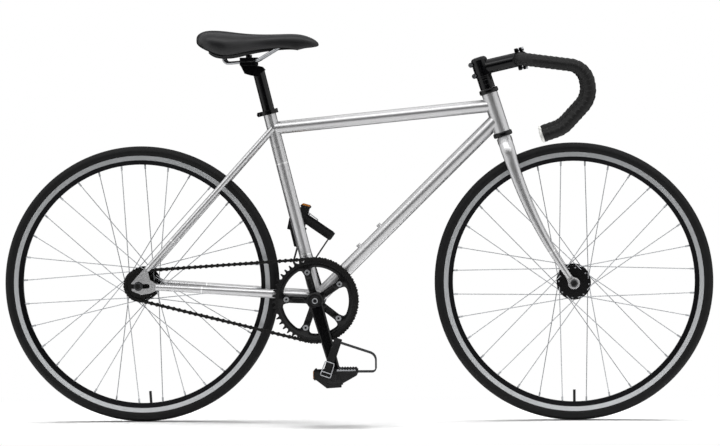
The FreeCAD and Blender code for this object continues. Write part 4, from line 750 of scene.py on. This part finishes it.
# %% Reflectors and dust caps
# Two corners of each moulding, given ahead, outward and up from the eye, in millimetres
HOLDER = ((-45, 83, -7), (-41, 131, 15))
END_BOSS = ((-15, 137.4, -13), (15, 139.2, 8))
LENS = ((-47, 85, -5), (-44, 129, 13))
MOULD_ROUND = 0.8 * MM
BOSS_ROUND = 1.0 * MM
DUST_CAP_FOOT = 9.5 * MM
DUST_CAP_FACE = 7.5 * MM
DUST_CAP_DEPTH = 3 * MM
DUST_CAP_OUT = 139.9 * MM


def block(builder, low, high, rounding):
    """A box between two corners, in millimetres, with its edges rounded. Gives back its points."""
    low, high = Vector(low) * MM, Vector(high) * MM
    made = bmesh.ops.create_cube(builder, size=1.0)["verts"]
    bmesh.ops.scale(builder, vec=high - low, verts=made)
    bmesh.ops.translate(builder, vec=(low + high) / 2, verts=made)
    edges = {edge for vert in made for edge in vert.link_edges}
    rounded = bmesh.ops.bevel(builder, geom=list(edges), offset=rounding, offset_type="OFFSET", segments=2,
                              profile=0.5, affect="EDGES", material=-1)
    return rounded["verts"]


def pedal_fittings(side):
    builder = bmesh.new()
    block(builder, *HOLDER, MOULD_ROUND)
    block(builder, *END_BOSS, BOSS_ROUND)
    cap = bmesh.ops.create_cone(builder, cap_ends=True, segments=32, radius1=DUST_CAP_FOOT,
                                radius2=DUST_CAP_FACE, depth=DUST_CAP_DEPTH)["verts"]
    bmesh.ops.rotate(builder, matrix=Matrix.Rotation(-math.pi / 2, 3, "X"), verts=cap)
    bmesh.ops.translate(builder, vec=SIDE * DUST_CAP_OUT, verts=cap)
    pedal_piece(builder, side, "pedal_fittings", nylon)


def reflector(side):
    builder = bmesh.new()
    block(builder, *LENS, MOULD_ROUND)
    pedal_piece(builder, side, "reflector", amber)


for side in pedal_eyes:
    cage_plates(side)
    pedal_fittings(side)
    reflector(side)

# %% [markdown]
# ## The chainring's web
# The photograph shows the ring and the five arms of the crank flowing into each other, so the windows
# between them are triangles with round corners. The solids meet at sharp corners. They could be filled with
# wedges, but a web has no joints to see, so a plate with five rounded windows lies over them. It is drawn as
# loops, one round rim and five windows, filled flat and then given its thickness. Each arm has a groove.

# %% Chainring web
WEB_FACE = -44.8 * MM
WEB_THICK = 4.3 * MM
BACK_THICK = 2.3 * MM
WEB_EDGE = 0.5 * MM
WEB_RIM = 84 * MM
WEB_RIM_STEPS = 120
ARMS = 5
ARM_STEP = math.tau / ARMS
ARM_HALF = 7.6 * MM
WINDOW_RIM = 74.5 * MM
WINDOW_ROUND = 9 * MM
WINDOW_STEPS = 10
WINDOW_STEP = 1.5 * MM
RIM_ROUND = 0.5 * MM
CORNER_SHARE = 2.5
# Along the arm and across it, in millimetres
GROOVE_ROUND = ((38, 2.4), (50, 2.4), (50, -2.4), (27, -2.4), (27, 2.4), (38, 2.4))
GROOVE_BEND = 2.28 * MM
GROOVE_STEP = 1 * MM


def on_ring(reach, angle):
    return bracket_place + Vector((reach * math.cos(angle), WEB_FACE, reach * math.sin(angle)))


def window_path(arm_angle):
    """The edge of the window after an arm: an arc inside the teeth and two arm edges, with round corners."""
    edge = math.asin(ARM_HALF / WINDOW_RIM)
    first = arm_angle + CORNER_SHARE * edge
    last = arm_angle + ARM_STEP - CORNER_SHARE * edge
    arc = [on_ring(WINDOW_RIM, first + (last - first) * k / WINDOW_STEPS) for k in range(WINDOW_STEPS + 1)]
    half = WINDOW_STEPS // 2
    inner = on_ring(ARM_HALF / math.sin(ARM_STEP / 2), arm_angle + ARM_STEP / 2)
    far = on_ring(WINDOW_RIM, arm_angle + ARM_STEP - edge)
    near = on_ring(WINDOW_RIM, arm_angle + edge)
    corners = arc[half:] + [far, inner, near] + arc[:half + 1]
    bends = [RIM_ROUND] * half + [WINDOW_ROUND] * 3 + [RIM_ROUND] * half
    return rounded_path(corners, bends, WINDOW_STEP)[:-1]


def groove_path(arm_angle):
    turn = Matrix.Rotation(-arm_angle, 3, "Y")
    corners = [on_ring(0, 0) + turn @ Vector((reach * MM, 0, across * MM)) for reach, across in GROOVE_ROUND]
    return rounded_path(corners, [GROOVE_BEND] * 4, GROOVE_STEP)[:-1]


def web_layer(builder, loops, shift, thick):
    """Fills loops, one round the others, with a flat plate and thickens it away from the bolts' heads."""
    made = []
    for loop in loops:
        line = [builder.verts.new(point + SIDE * shift) for point in loop]
        made.extend(builder.edges.new(pair) for pair in zip(line, line[1:] + line[:1]))
    filled = bmesh.ops.triangle_fill(builder, edges=made, use_beauty=True, normal=-SIDE)["geom"]
    faces = [item for item in filled if isinstance(item, bmesh.types.BMFace)]
    grown = bmesh.ops.extrude_face_region(builder, geom=faces, use_keep_orig=True)["geom"]
    moved = [item for item in grown if isinstance(item, bmesh.types.BMVert)]
    bmesh.ops.translate(builder, vec=SIDE * thick, verts=moved)
    bmesh.ops.bevel(builder, geom=made, offset=WEB_EDGE, offset_type="OFFSET", segments=2, profile=0.5,
                    affect="EDGES", material=-1)


builder = bmesh.new()
rim = [on_ring(WEB_RIM, math.tau * k / WEB_RIM_STEPS) for k in range(WEB_RIM_STEPS)]
arm_angles = [CRANK_ANGLE + (k + 0.5) * ARM_STEP for k in range(ARMS)]
windows = [window_path(angle) for angle in arm_angles]
grooves = [groove_path(angle) for angle in arm_angles]
web_layer(builder, [rim] + windows + grooves, 0, WEB_THICK)
web_layer(builder, [rim] + windows, WEB_THICK, BACK_THICK)
make_piece(builder, "chainring_web", satin_black, "crankset", crease=30)

# %% [markdown]
# ## Forged cranks
# A crank is forged and then machined: a round boss on the spindle with a recess for the bolt's cap, a
# tapering arm whose long edges are cut off at a slant, and an eye for the pedal. The slanted edges catch
# the light as the bright line down the arm. The boss could be a cylinder, but its recess and broken edge
# show, so it is a profile spun about the spindle. The arm is a box whose far end is narrowed and moved
# outwards, with its edges bevelled flat. A thin bright ring lies in the cap over the crank bolt.

# %% Cranks
BOSS_WIDTH = 22 * MM
ARM_THICK = 12 * MM
ROOT_WIDTH = 30 * MM
TIP_WIDTH = 22 * MM
ARM_START = 13 * MM
SLANT = 3.2 * MM
CRANK_STEPS = 64
# Reach from the axis, and height above the boss's inner face or the eye's outer face
BOSS_LINE = in_mm(((0, 19), (11, 19), (11, 22), (15.8, 22), (19, 18.8), (19, 0), (0, 0)))
EYE_LINE = in_mm(((0, 0), (10.3, 0), (13.5, -3.2), (13.5, -12), (0, -12)))
boss_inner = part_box("left_crank_arm")[0].y
eye_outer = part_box("left_crank_arm")[1].y
boss_outer = boss_inner + BOSS_WIDTH


def turned(builder, foot, axis, outward, profile, steps=48):
    """Spins a line of (reach, height) places about an axis from a foot."""
    line = [builder.verts.new(foot + outward * reach + axis * height) for reach, height in profile]
    edges = [builder.edges.new(pair) for pair in zip(line, line[1:])]
    bmesh.ops.spin(builder, geom=line + edges, cent=foot, axis=axis, angle=math.tau, steps=steps,
                   use_merge=True)


def forged_crank(name, hand, reach_way, node):
    builder = bmesh.new()
    boss = [(reach, boss_inner + height) for reach, height in BOSS_LINE]
    turned(builder, bracket_place, SIDE, AHEAD, boss, CRANK_STEPS)
    eye = [(reach, eye_outer + height) for reach, height in EYE_LINE]
    turned(builder, bracket_place + reach_way, SIDE, AHEAD, eye, CRANK_STEPS)
    across = Vector((-reach_way.z, 0, reach_way.x)).normalized()
    arm = bmesh.ops.create_cube(builder, size=1.0)["verts"]
    for vert in arm:
        share = 1.0 if vert.co.x > 0 else ARM_START / CRANK
        width = ROOT_WIDTH + (TIP_WIDTH - ROOT_WIDTH) * share
        outer = boss_outer + (eye_outer - boss_outer) * share
        level = outer + (vert.co.y - 0.5) * ARM_THICK
        vert.co = bracket_place + reach_way * share + across * (vert.co.z * width) + SIDE * level
    edges = {edge for vert in arm for edge in vert.link_edges}
    long_edges = [edge for edge in edges if edge.calc_length() > CRANK / 2]
    bmesh.ops.bevel(builder, geom=long_edges, offset=SLANT, offset_type="OFFSET", segments=1, profile=0.5,
                    affect="EDGES", material=-1)
    bmesh.ops.scale(builder, vec=(1, hand, 1), verts=builder.verts)
    make_piece(builder, name, anodised, "crankset", [node], crease=25)


forged_crank("right_forged_crank", -1, crank_reach, "right_crank_arm")
forged_crank("left_forged_crank", 1, -crank_reach, "left_crank_arm")

# %% Crank cap ring
CAP_RING = 5.3 * MM
cap_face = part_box("crank_bolts")[0].y
builder = bmesh.new()
ring_line = [bracket_place + Vector((x, cap_face, z)) for x, z in ellipse(CAP_RING, CAP_RING, count=40)]
sweep_loop(builder, ring_line, SIDE, WIRE_SECTION, closed=True)
make_piece(builder, "crank_cap_ring", bright_steel, "crankset")

# %% [markdown]
# ## The fork crown
# The crown joins the steerer to the blades. Its solid is a flat plate cut to an arch, and the photograph
# shows a rounded casting whose shoulders run on from the blades. Bevelling the plate would keep it flat, so
# each shoulder is an ellipse swept up from the blade and inwards. The neck and the steerer are one spun
# profile, and a dark eyelet lines the bore for a brake bolt at the front and at the rear.

# %% Fork crown
RAKE = 48 * MM
STEERER_RADIUS = 14.3 * MM
# Height above the hub along the steerer and distance from the middle, in millimetres
SHOULDER_LINE = ((294, 33.5), (322, 33.5), (341, 25), (351, 12))
SHOULDER_BENDS = (30 * MM, 20 * MM)
SHOULDER_STEP = 2 * MM
SHOULDER_RISE = 34 * MM
SHOULDER_FOOT = (9.3 * MM, 14.2 * MM)
SHOULDER_GAIN = (0.9 * MM, 1.6 * MM)
# Reach from the steerer's axis and height above the hub along it
NECK_LINE = in_mm(((0, 332), (10.3, 332), (16.9, 342), (16.9, 354), (14.3, 354)))
steer_foot = front_hub_place - steer_ahead * RAKE
steerer_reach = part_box("fork_crown_steerer")[1].z - steer_foot.z
steerer_end = steerer_reach / steer_up.z - STEERER_RADIUS * abs(steer_up.x) / steer_up.z


def shoulder_loop(number, run):
    grown = min(1.0, run / SHOULDER_RISE)
    wide, deep = [foot + gain * grown for foot, gain in zip(SHOULDER_FOOT, SHOULDER_GAIN)]
    return ellipse(wide, deep, count=28)


builder = bmesh.new()
for hand in (-1, 1):
    corners = [steer_foot + steer_up * height + SIDE * (hand * y) for height, y in in_mm(SHOULDER_LINE)]
    sweep_loop(builder, rounded_path(corners, SHOULDER_BENDS, SHOULDER_STEP), steer_ahead, shoulder_loop)
neck = NECK_LINE + [(STEERER_RADIUS, steerer_end), (0, steerer_end)]
turned(builder, steer_foot, steer_up, steer_ahead, neck)
make_piece(builder, "rounded_fork_crown", plain_paint, "steering", ["fork_crown_steerer"],
           crease=50)

# %% Bore eyelet
BORE_HEIGHT = 343.5 * MM
EYELET_LINE = in_mm(((2.6, -16.4), (4.4, -16.4), (4.4, 16.4), (2.6, 16.4), (2.6, -16.4)))
builder = bmesh.new()
turned(builder, steer_foot + steer_up * BORE_HEIGHT, steer_ahead, steer_up, EYELET_LINE)
make_piece(builder, "crown_bore_eyelet", black_steel, "steering", crease=30)

# %% [markdown]
# ## The seat collar's bolt
# The collar is closed by a bolt through a round barrel at its rear, with a bright socket in its head. A
# plain cylinder would have sharp ends, so the barrel and the socket's rim are profiles spun about the
# bolt's axis, which runs across the bicycle.

# %% Collar bolt
BARREL_LINE = in_mm(((0, -9), (3.8, -9), (4.8, -8), (4.8, 8), (3.8, 9), (0, 9)))
SOCKET_LINE = in_mm(((1.4, -9), (1.4, -9.6), (2.4, -9.6), (2.4, -9)))
BARREL_OFFSET = Vector((4.32, 0, 5.28)) * MM
collar_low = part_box("seat_collar")[0]
barrel_place = Vector((collar_low.x, 0, collar_low.z)) + BARREL_OFFSET
builder = bmesh.new()
turned(builder, barrel_place, SIDE, AHEAD, BARREL_LINE, CRANK_STEPS)
make_piece(builder, "collar_barrel", anodised, "frame", crease=30)
builder = bmesh.new()
turned(builder, barrel_place, SIDE, AHEAD, SOCKET_LINE, CRANK_STEPS)
make_piece(builder, "collar_bolt_socket", bright_steel, "frame", crease=30)

# %% [markdown]
# ## The stem and its cap
# The stem is forged and then turned: a sleeve round the steerer with two round lugs behind it for the
# clamp bolts, a round arm, and a jaw that holds the bar. The solid has one square block in place of the
# lugs, and the photograph shows two knobs with air between them, so the stem is made anew. The sleeve, the
# arm and the cap are spun profiles, the lugs are spun barrels on short rounded webs, and the jaw is a flat
# section swept half round the bar, with an ear above and below for its bolts.

# %% Stem sleeve, arm and lugs
STEM_RISE = math.radians(12.6)
STEM_LENGTH = 90 * MM
SLEEVE_HALF = 20 * MM
SLEEVE_LINE = in_mm(((14.3, -20), (17, -20), (18.5, -18.5), (18.5, 18.5), (17, 20), (14.3, 20)))
ARM_LINE = in_mm(((0, 9.25), (16, 9.25), (16, 88), (0, 88)))
LUG_LINE = in_mm(((0, -10), (4.6, -10), (5.6, -9), (5.6, 9), (4.6, 10), (0, 10)))
LUG_BACK = 20.2 * MM
# Each lug's height on the sleeve, and two corners of the web that holds it, in millimetres
LUGS = ((13, (-20.2, -9, 8.8), (-14.3, 9, 17.2)), (-13, (-20.2, -9, -17.2), (-14.3, 9, -8.8)))
LUG_WEB_ROUND = 1 * MM
stem_ahead = Vector((math.cos(STEM_RISE), 0, math.sin(STEM_RISE)))
stem_upward = Vector((-math.sin(STEM_RISE), 0, math.cos(STEM_RISE)))
stem_base = bar_middle - stem_ahead * STEM_LENGTH


def stem_block(builder, low, high, rounding, turn, foot):
    verts = block(builder, low, high, rounding)
    bmesh.ops.rotate(builder, cent=(0, 0, 0), matrix=Matrix.Rotation(turn, 3, "Y"), verts=verts)
    bmesh.ops.translate(builder, vec=foot, verts=verts)


stem_builder = bmesh.new()
turned(stem_builder, stem_base, steer_up, steer_ahead, SLEEVE_LINE)
turned(stem_builder, stem_base, stem_ahead, stem_upward, ARM_LINE)
for rise, low, high in LUGS:
    lug = stem_base + steer_up * (rise * MM) - steer_ahead * LUG_BACK
    turned(stem_builder, lug, SIDE, steer_up, LUG_LINE)
    stem_block(stem_builder, low, high, LUG_WEB_ROUND, head_lean - math.pi / 2, stem_base)
print("stem from", [round(v, 3) for v in stem_base], "to", [round(v, 3) for v in bar_middle])

# %% Stem jaw
JAW_WALL = 6 * MM
JAW_ROUND = 2.0 * MM
JAW_STEPS = 24
# Half the wall and half the width, with the edges cut off
JAW_SECTION = in_mm(((3, -20), (3, 20), (1, 22), (-1, 22), (-3, 20), (-3, -20), (-1, -22), (1, -22)))
# Two corners of each ear, from the bar's middle, in millimetres
EARS = (((-10, -22, 12), (-1, 22, 24.8)), ((-10, -22, -24.8), (-1, 22, -12)))
jaw_reach = BAR_RADIUS + JAW_WALL / 2
jaw_path = []
for number in range(JAW_STEPS + 1):
    angle = math.pi / 2 + math.pi * number / JAW_STEPS
    spoke = stem_ahead * math.cos(angle) + stem_upward * math.sin(angle)
    jaw_path.append(bar_middle + spoke * jaw_reach)
sweep_loop(stem_builder, jaw_path, SIDE, JAW_SECTION)
for low, high in EARS:
    stem_block(stem_builder, low, high, JAW_ROUND, -STEM_RISE, bar_middle)
make_piece(stem_builder, "rounded_stem", anodised, "steering", ["stem"], crease=35)

# %% Domed cap
CAP_LINE = in_mm(((0, 1), (4.0, 1), (4.3, 4.8), (5.0, 5), (9.0, 4.9), (13.0, 4.2), (15.8, 2.6), (17.2, 0.6),
                  (17.2, 0), (0, 0)))
builder = bmesh.new()
turned(builder, stem_base + steer_up * SLEEVE_HALF, steer_up, steer_ahead, CAP_LINE)
make_piece(builder, "domed_cap", anodised, "steering", ["headset_top_cap"], crease=35)

# %% [markdown]
# ## Front washers and bar end plugs
# The photograph shows a broad silver washer under the front nut, which hides the fork end's open slot, and
# pale plugs with a rounded face in the ends of the bar. Plain discs would have hard rims. Both are turned
# shapes, so both are spun profiles.

# %% Front washers
WASHER_LINE = in_mm(((5.0, 0), (12.8, 0), (12.8, 1.6), (11.8, 2.8), (5.0, 2.8), (5.0, 0)))
fork_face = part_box("fork_ends")[1].y
builder = bmesh.new()
for hand in (-1, 1):
    turned(builder, front_hub_place + SIDE * (hand * fork_face), SIDE * hand, steer_up, WASHER_LINE)
make_piece(builder, "front_washers", plain_paint, "steering", crease=30)

# %% Bar end plugs
PLUG_LINE = in_mm(((0, -4.5), (13.4, -4.5), (14.2, -3.6), (14.2, -0.6), (13.2, 1.2), (10.5, 2.5), (6, 3.0),
                   (0, 3.0)))
builder = bmesh.new()
for sign in (1, -1):
    corners, bends = bar_route(sign)
    turned(builder, corners[-1], (corners[-1] - corners[-2]).normalized(), SIDE, PLUG_LINE)
make_piece(builder, "rounded_bar_plugs", pale_plug, "steering", ["bar_plugs"], crease=35)

# %% [markdown]
# ## The studio
# The photograph has a white ground and a white background with only soft shadows under the tyres. The
# floor is a real pale plane that takes those shadows. A little way off it turns to an even white for rays
# from the camera, from gloss and from glass, as a lit paper sweep would look. An even white sky alone would
# leave the tubes flat, so soft lamps hang overhead, and four dark boards that no camera sees stand behind
# the camera and behind the bicycle and lie on the floor before and behind it. The boards put the grey
# stripes and the dark edges on the silver tubes that show how round they are, and keep the black metal
# black. Two lamps light the pieces and are left out of the reflections. A third one, a long strip, only
# adds the bright line along the upper half of the tubes and the stem.

# %% Floor
FLOOR_SIZE = 400.0
# Distances from the middle of the bicycle, to its side and along it
SHADOW_NEAR = 0.1
SHADOW_FAR = 0.4
SHADOW_END = 0.85
WHITE_END = 1.3


def studio_rays(tree):
    """1 for rays that should see the white studio, 0 for rays that gather light."""
    rays = add(tree, "ShaderNodeLightPath").outputs
    first = add(tree, "ShaderNodeMath", {0: rays["Is Camera Ray"], 1: rays["Is Glossy Ray"]},
                operation="MAXIMUM")
    return add(tree, "ShaderNodeMath", {0: first, 1: rays["Is Transmission Ray"]}, operation="MAXIMUM")


def studio_object(builder, name, material):
    mesh = bpy.data.meshes.new(name)
    builder.to_mesh(mesh)
    builder.free()
    mesh.materials.append(material)
    made = bpy.data.objects.new(name, mesh)
    bpy.context.scene.collection.objects.link(made)
    return made


floor_finish = bpy.data.materials.new("white studio floor")
floor_finish.use_nodes = True
tree = floor_finish.node_tree
tree.nodes.clear()
matt = add(tree, "ShaderNodeBsdfDiffuse", {"Color": colour("#f2f2f2")})
glow = add(tree, "ShaderNodeEmission", {"Color": (1, 1, 1, 1), "Strength": 1.0})
here = add(tree, "ShaderNodeTexCoord").outputs["Object"]
away = add(tree, "ShaderNodeVectorMath", {0: here}, operation="ABSOLUTE")
apart = add(tree, "ShaderNodeSeparateXYZ", {"Vector": away}).outputs
aside = add(tree, "ShaderNodeMapRange", {"Value": apart["Y"], "From Min": SHADOW_NEAR,
                                         "From Max": SHADOW_FAR}, interpolation_type="SMOOTHSTEP")
beyond = add(tree, "ShaderNodeMapRange", {"Value": apart["X"], "From Min": SHADOW_END,
                                          "From Max": WHITE_END}, interpolation_type="SMOOTHSTEP")
fade = add(tree, "ShaderNodeMath", {0: aside, 1: beyond}, operation="MAXIMUM")
share = add(tree, "ShaderNodeMath", {0: studio_rays(tree), 1: fade}, operation="MULTIPLY")
mixed = add(tree, "ShaderNodeMixShader", {"Fac": share, 1: matt, 2: glow})
add(tree, "ShaderNodeOutputMaterial", {"Surface": mixed})
builder = bmesh.new()
bmesh.ops.create_grid(builder, x_segments=1, y_segments=1, size=FLOOR_SIZE / 2)
floor = studio_object(builder, "floor", floor_finish)
floor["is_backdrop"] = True
print("floor:", FLOOR_SIZE, "m across")

# %% Sky
SKY_FOR_LIGHT = 0.22
SKY_FOR_VIEW = 1.0
world = bpy.data.worlds.new("studio")
bpy.context.scene.world = world
world.use_nodes = True
tree = world.node_tree
tree.nodes.clear()
strength = add(tree, "ShaderNodeMapRange", {"Value": studio_rays(tree), "To Min": SKY_FOR_LIGHT,
                                            "To Max": SKY_FOR_VIEW})
sky = add(tree, "ShaderNodeBackground", {"Color": (1, 1, 1, 1), "Strength": strength})
add(tree, "ShaderNodeOutputWorld", {"Surface": sky})
print("sky:", SKY_FOR_LIGHT, "as light and", SKY_FOR_VIEW, "as seen")

# %% Lamps


def soft_lamp(name, spot, aim, width, height, power, gloss_only=False):
    light = bpy.data.lights.new(name, "AREA")
    light.shape = "RECTANGLE"
    light.size = width
    light.size_y = height
    light.energy = power
    lamp = bpy.data.objects.new(name, light)
    bpy.context.scene.collection.objects.link(lamp)
    lamp.location = spot
    lamp.rotation_euler = (Vector(aim) - Vector(spot)).to_track_quat("-Z", "Y").to_euler()
    lamp.visible_glossy = gloss_only
    lamp.visible_diffuse = not gloss_only
    print(name, power, "W")


soft_lamp("overhead lamp", spot=(0.0, 0.3, 2.9), aim=(0, 0, 0), width=4.6, height=1.2, power=185)
soft_lamp("front lamp", spot=(1.8, -3.2, 2.2), aim=(0, 0, 0.45), width=1.6, height=1.2, power=28)
soft_lamp("strip above the camera", spot=(0.0, -2.4, 3.2), aim=(0, 0, 0.5), width=6.0, height=0.8, power=42,
          gloss_only=True)

# %% Dark boards
STANDING = math.radians(90)
LYING = 0
board_cloth = new_material("dark cloth", {"Base Color": colour("#242425"), "Roughness": 1.0})[0]


def dark_board(name, centre, width, height, tilt):
    builder = bmesh.new()
    bmesh.ops.create_grid(builder, x_segments=1, y_segments=1, size=0.5)
    bmesh.ops.scale(builder, vec=(width, height, 1), verts=builder.verts)
    bmesh.ops.rotate(builder, matrix=Matrix.Rotation(tilt, 3, "X"), verts=builder.verts)
    bmesh.ops.translate(builder, vec=centre, verts=builder.verts)
    board = studio_object(builder, name, board_cloth)
    board.visible_camera = False
    board.visible_shadow = False
    board.visible_diffuse = False
    board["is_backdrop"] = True
    print(name, width, "by", height, "m")


dark_board("board behind the camera", centre=(0.0, -9.0, 2.1), width=12.0, height=4.0, tilt=STANDING)
dark_board("board on the floor", centre=(0.0, -5.8, 0.02), width=9.0, height=6.4, tilt=LYING)
dark_board("board behind the bicycle", centre=(0.0, 5.0, 2.5), width=14.0, height=4.9, tilt=STANDING)
dark_board("board on the floor behind", centre=(0.0, 2.4, 0.02), width=12.0, height=4.2, tilt=LYING)

# %% [markdown]
# ## The camera
# The photograph was taken from the drive side, slightly from the front and a little above the hubs. A
# camera could be set by eye, but then nothing would line up. Its place was worked out from the wheel
# centres, the axle nuts and the bar, so a point of the bicycle lands close to the pixel where the
# photograph has it.

# %% Camera
WIDTH_PX = 720
FOCAL_PX = 2902
SENSOR_WIDTH = 36.0
CLIP_END = 500
VIEW_AZIMUTH = math.radians(3.3)
VIEW_ELEVATION = math.radians(3.2)
VIEW_ROLL = math.radians(-0.615)
VIEW_DISTANCE = 6.5
VIEW_AIM = Vector((0.0082, 0, 0.4447))
back = Vector((math.sin(VIEW_AZIMUTH) * math.cos(VIEW_ELEVATION),
               -math.cos(VIEW_AZIMUTH) * math.cos(VIEW_ELEVATION), math.sin(VIEW_ELEVATION)))
level = Vector((math.cos(VIEW_AZIMUTH), math.sin(VIEW_AZIMUTH), 0))
upright = back.cross(level)
right = level * math.cos(VIEW_ROLL) + upright * math.sin(VIEW_ROLL)
top = upright * math.cos(VIEW_ROLL) - level * math.sin(VIEW_ROLL)
lens = bpy.data.cameras.new("camera")
lens.sensor_width = SENSOR_WIDTH
lens.lens = FOCAL_PX / WIDTH_PX * SENSOR_WIDTH
lens.clip_end = CLIP_END
camera = bpy.data.objects.new("camera", lens)
bpy.context.scene.collection.objects.link(camera)
turn = Matrix((right, top, back)).transposed()
camera.matrix_world = Matrix.Translation(VIEW_AIM + back * VIEW_DISTANCE) @ turn.to_4x4()
bpy.context.scene.camera = camera
bpy.context.scene.view_settings.view_transform = "Standard"
print("camera:", round(lens.lens, 1), "mm lens,", VIEW_DISTANCE, "m away")

# %% Sizes and finish
low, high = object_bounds()
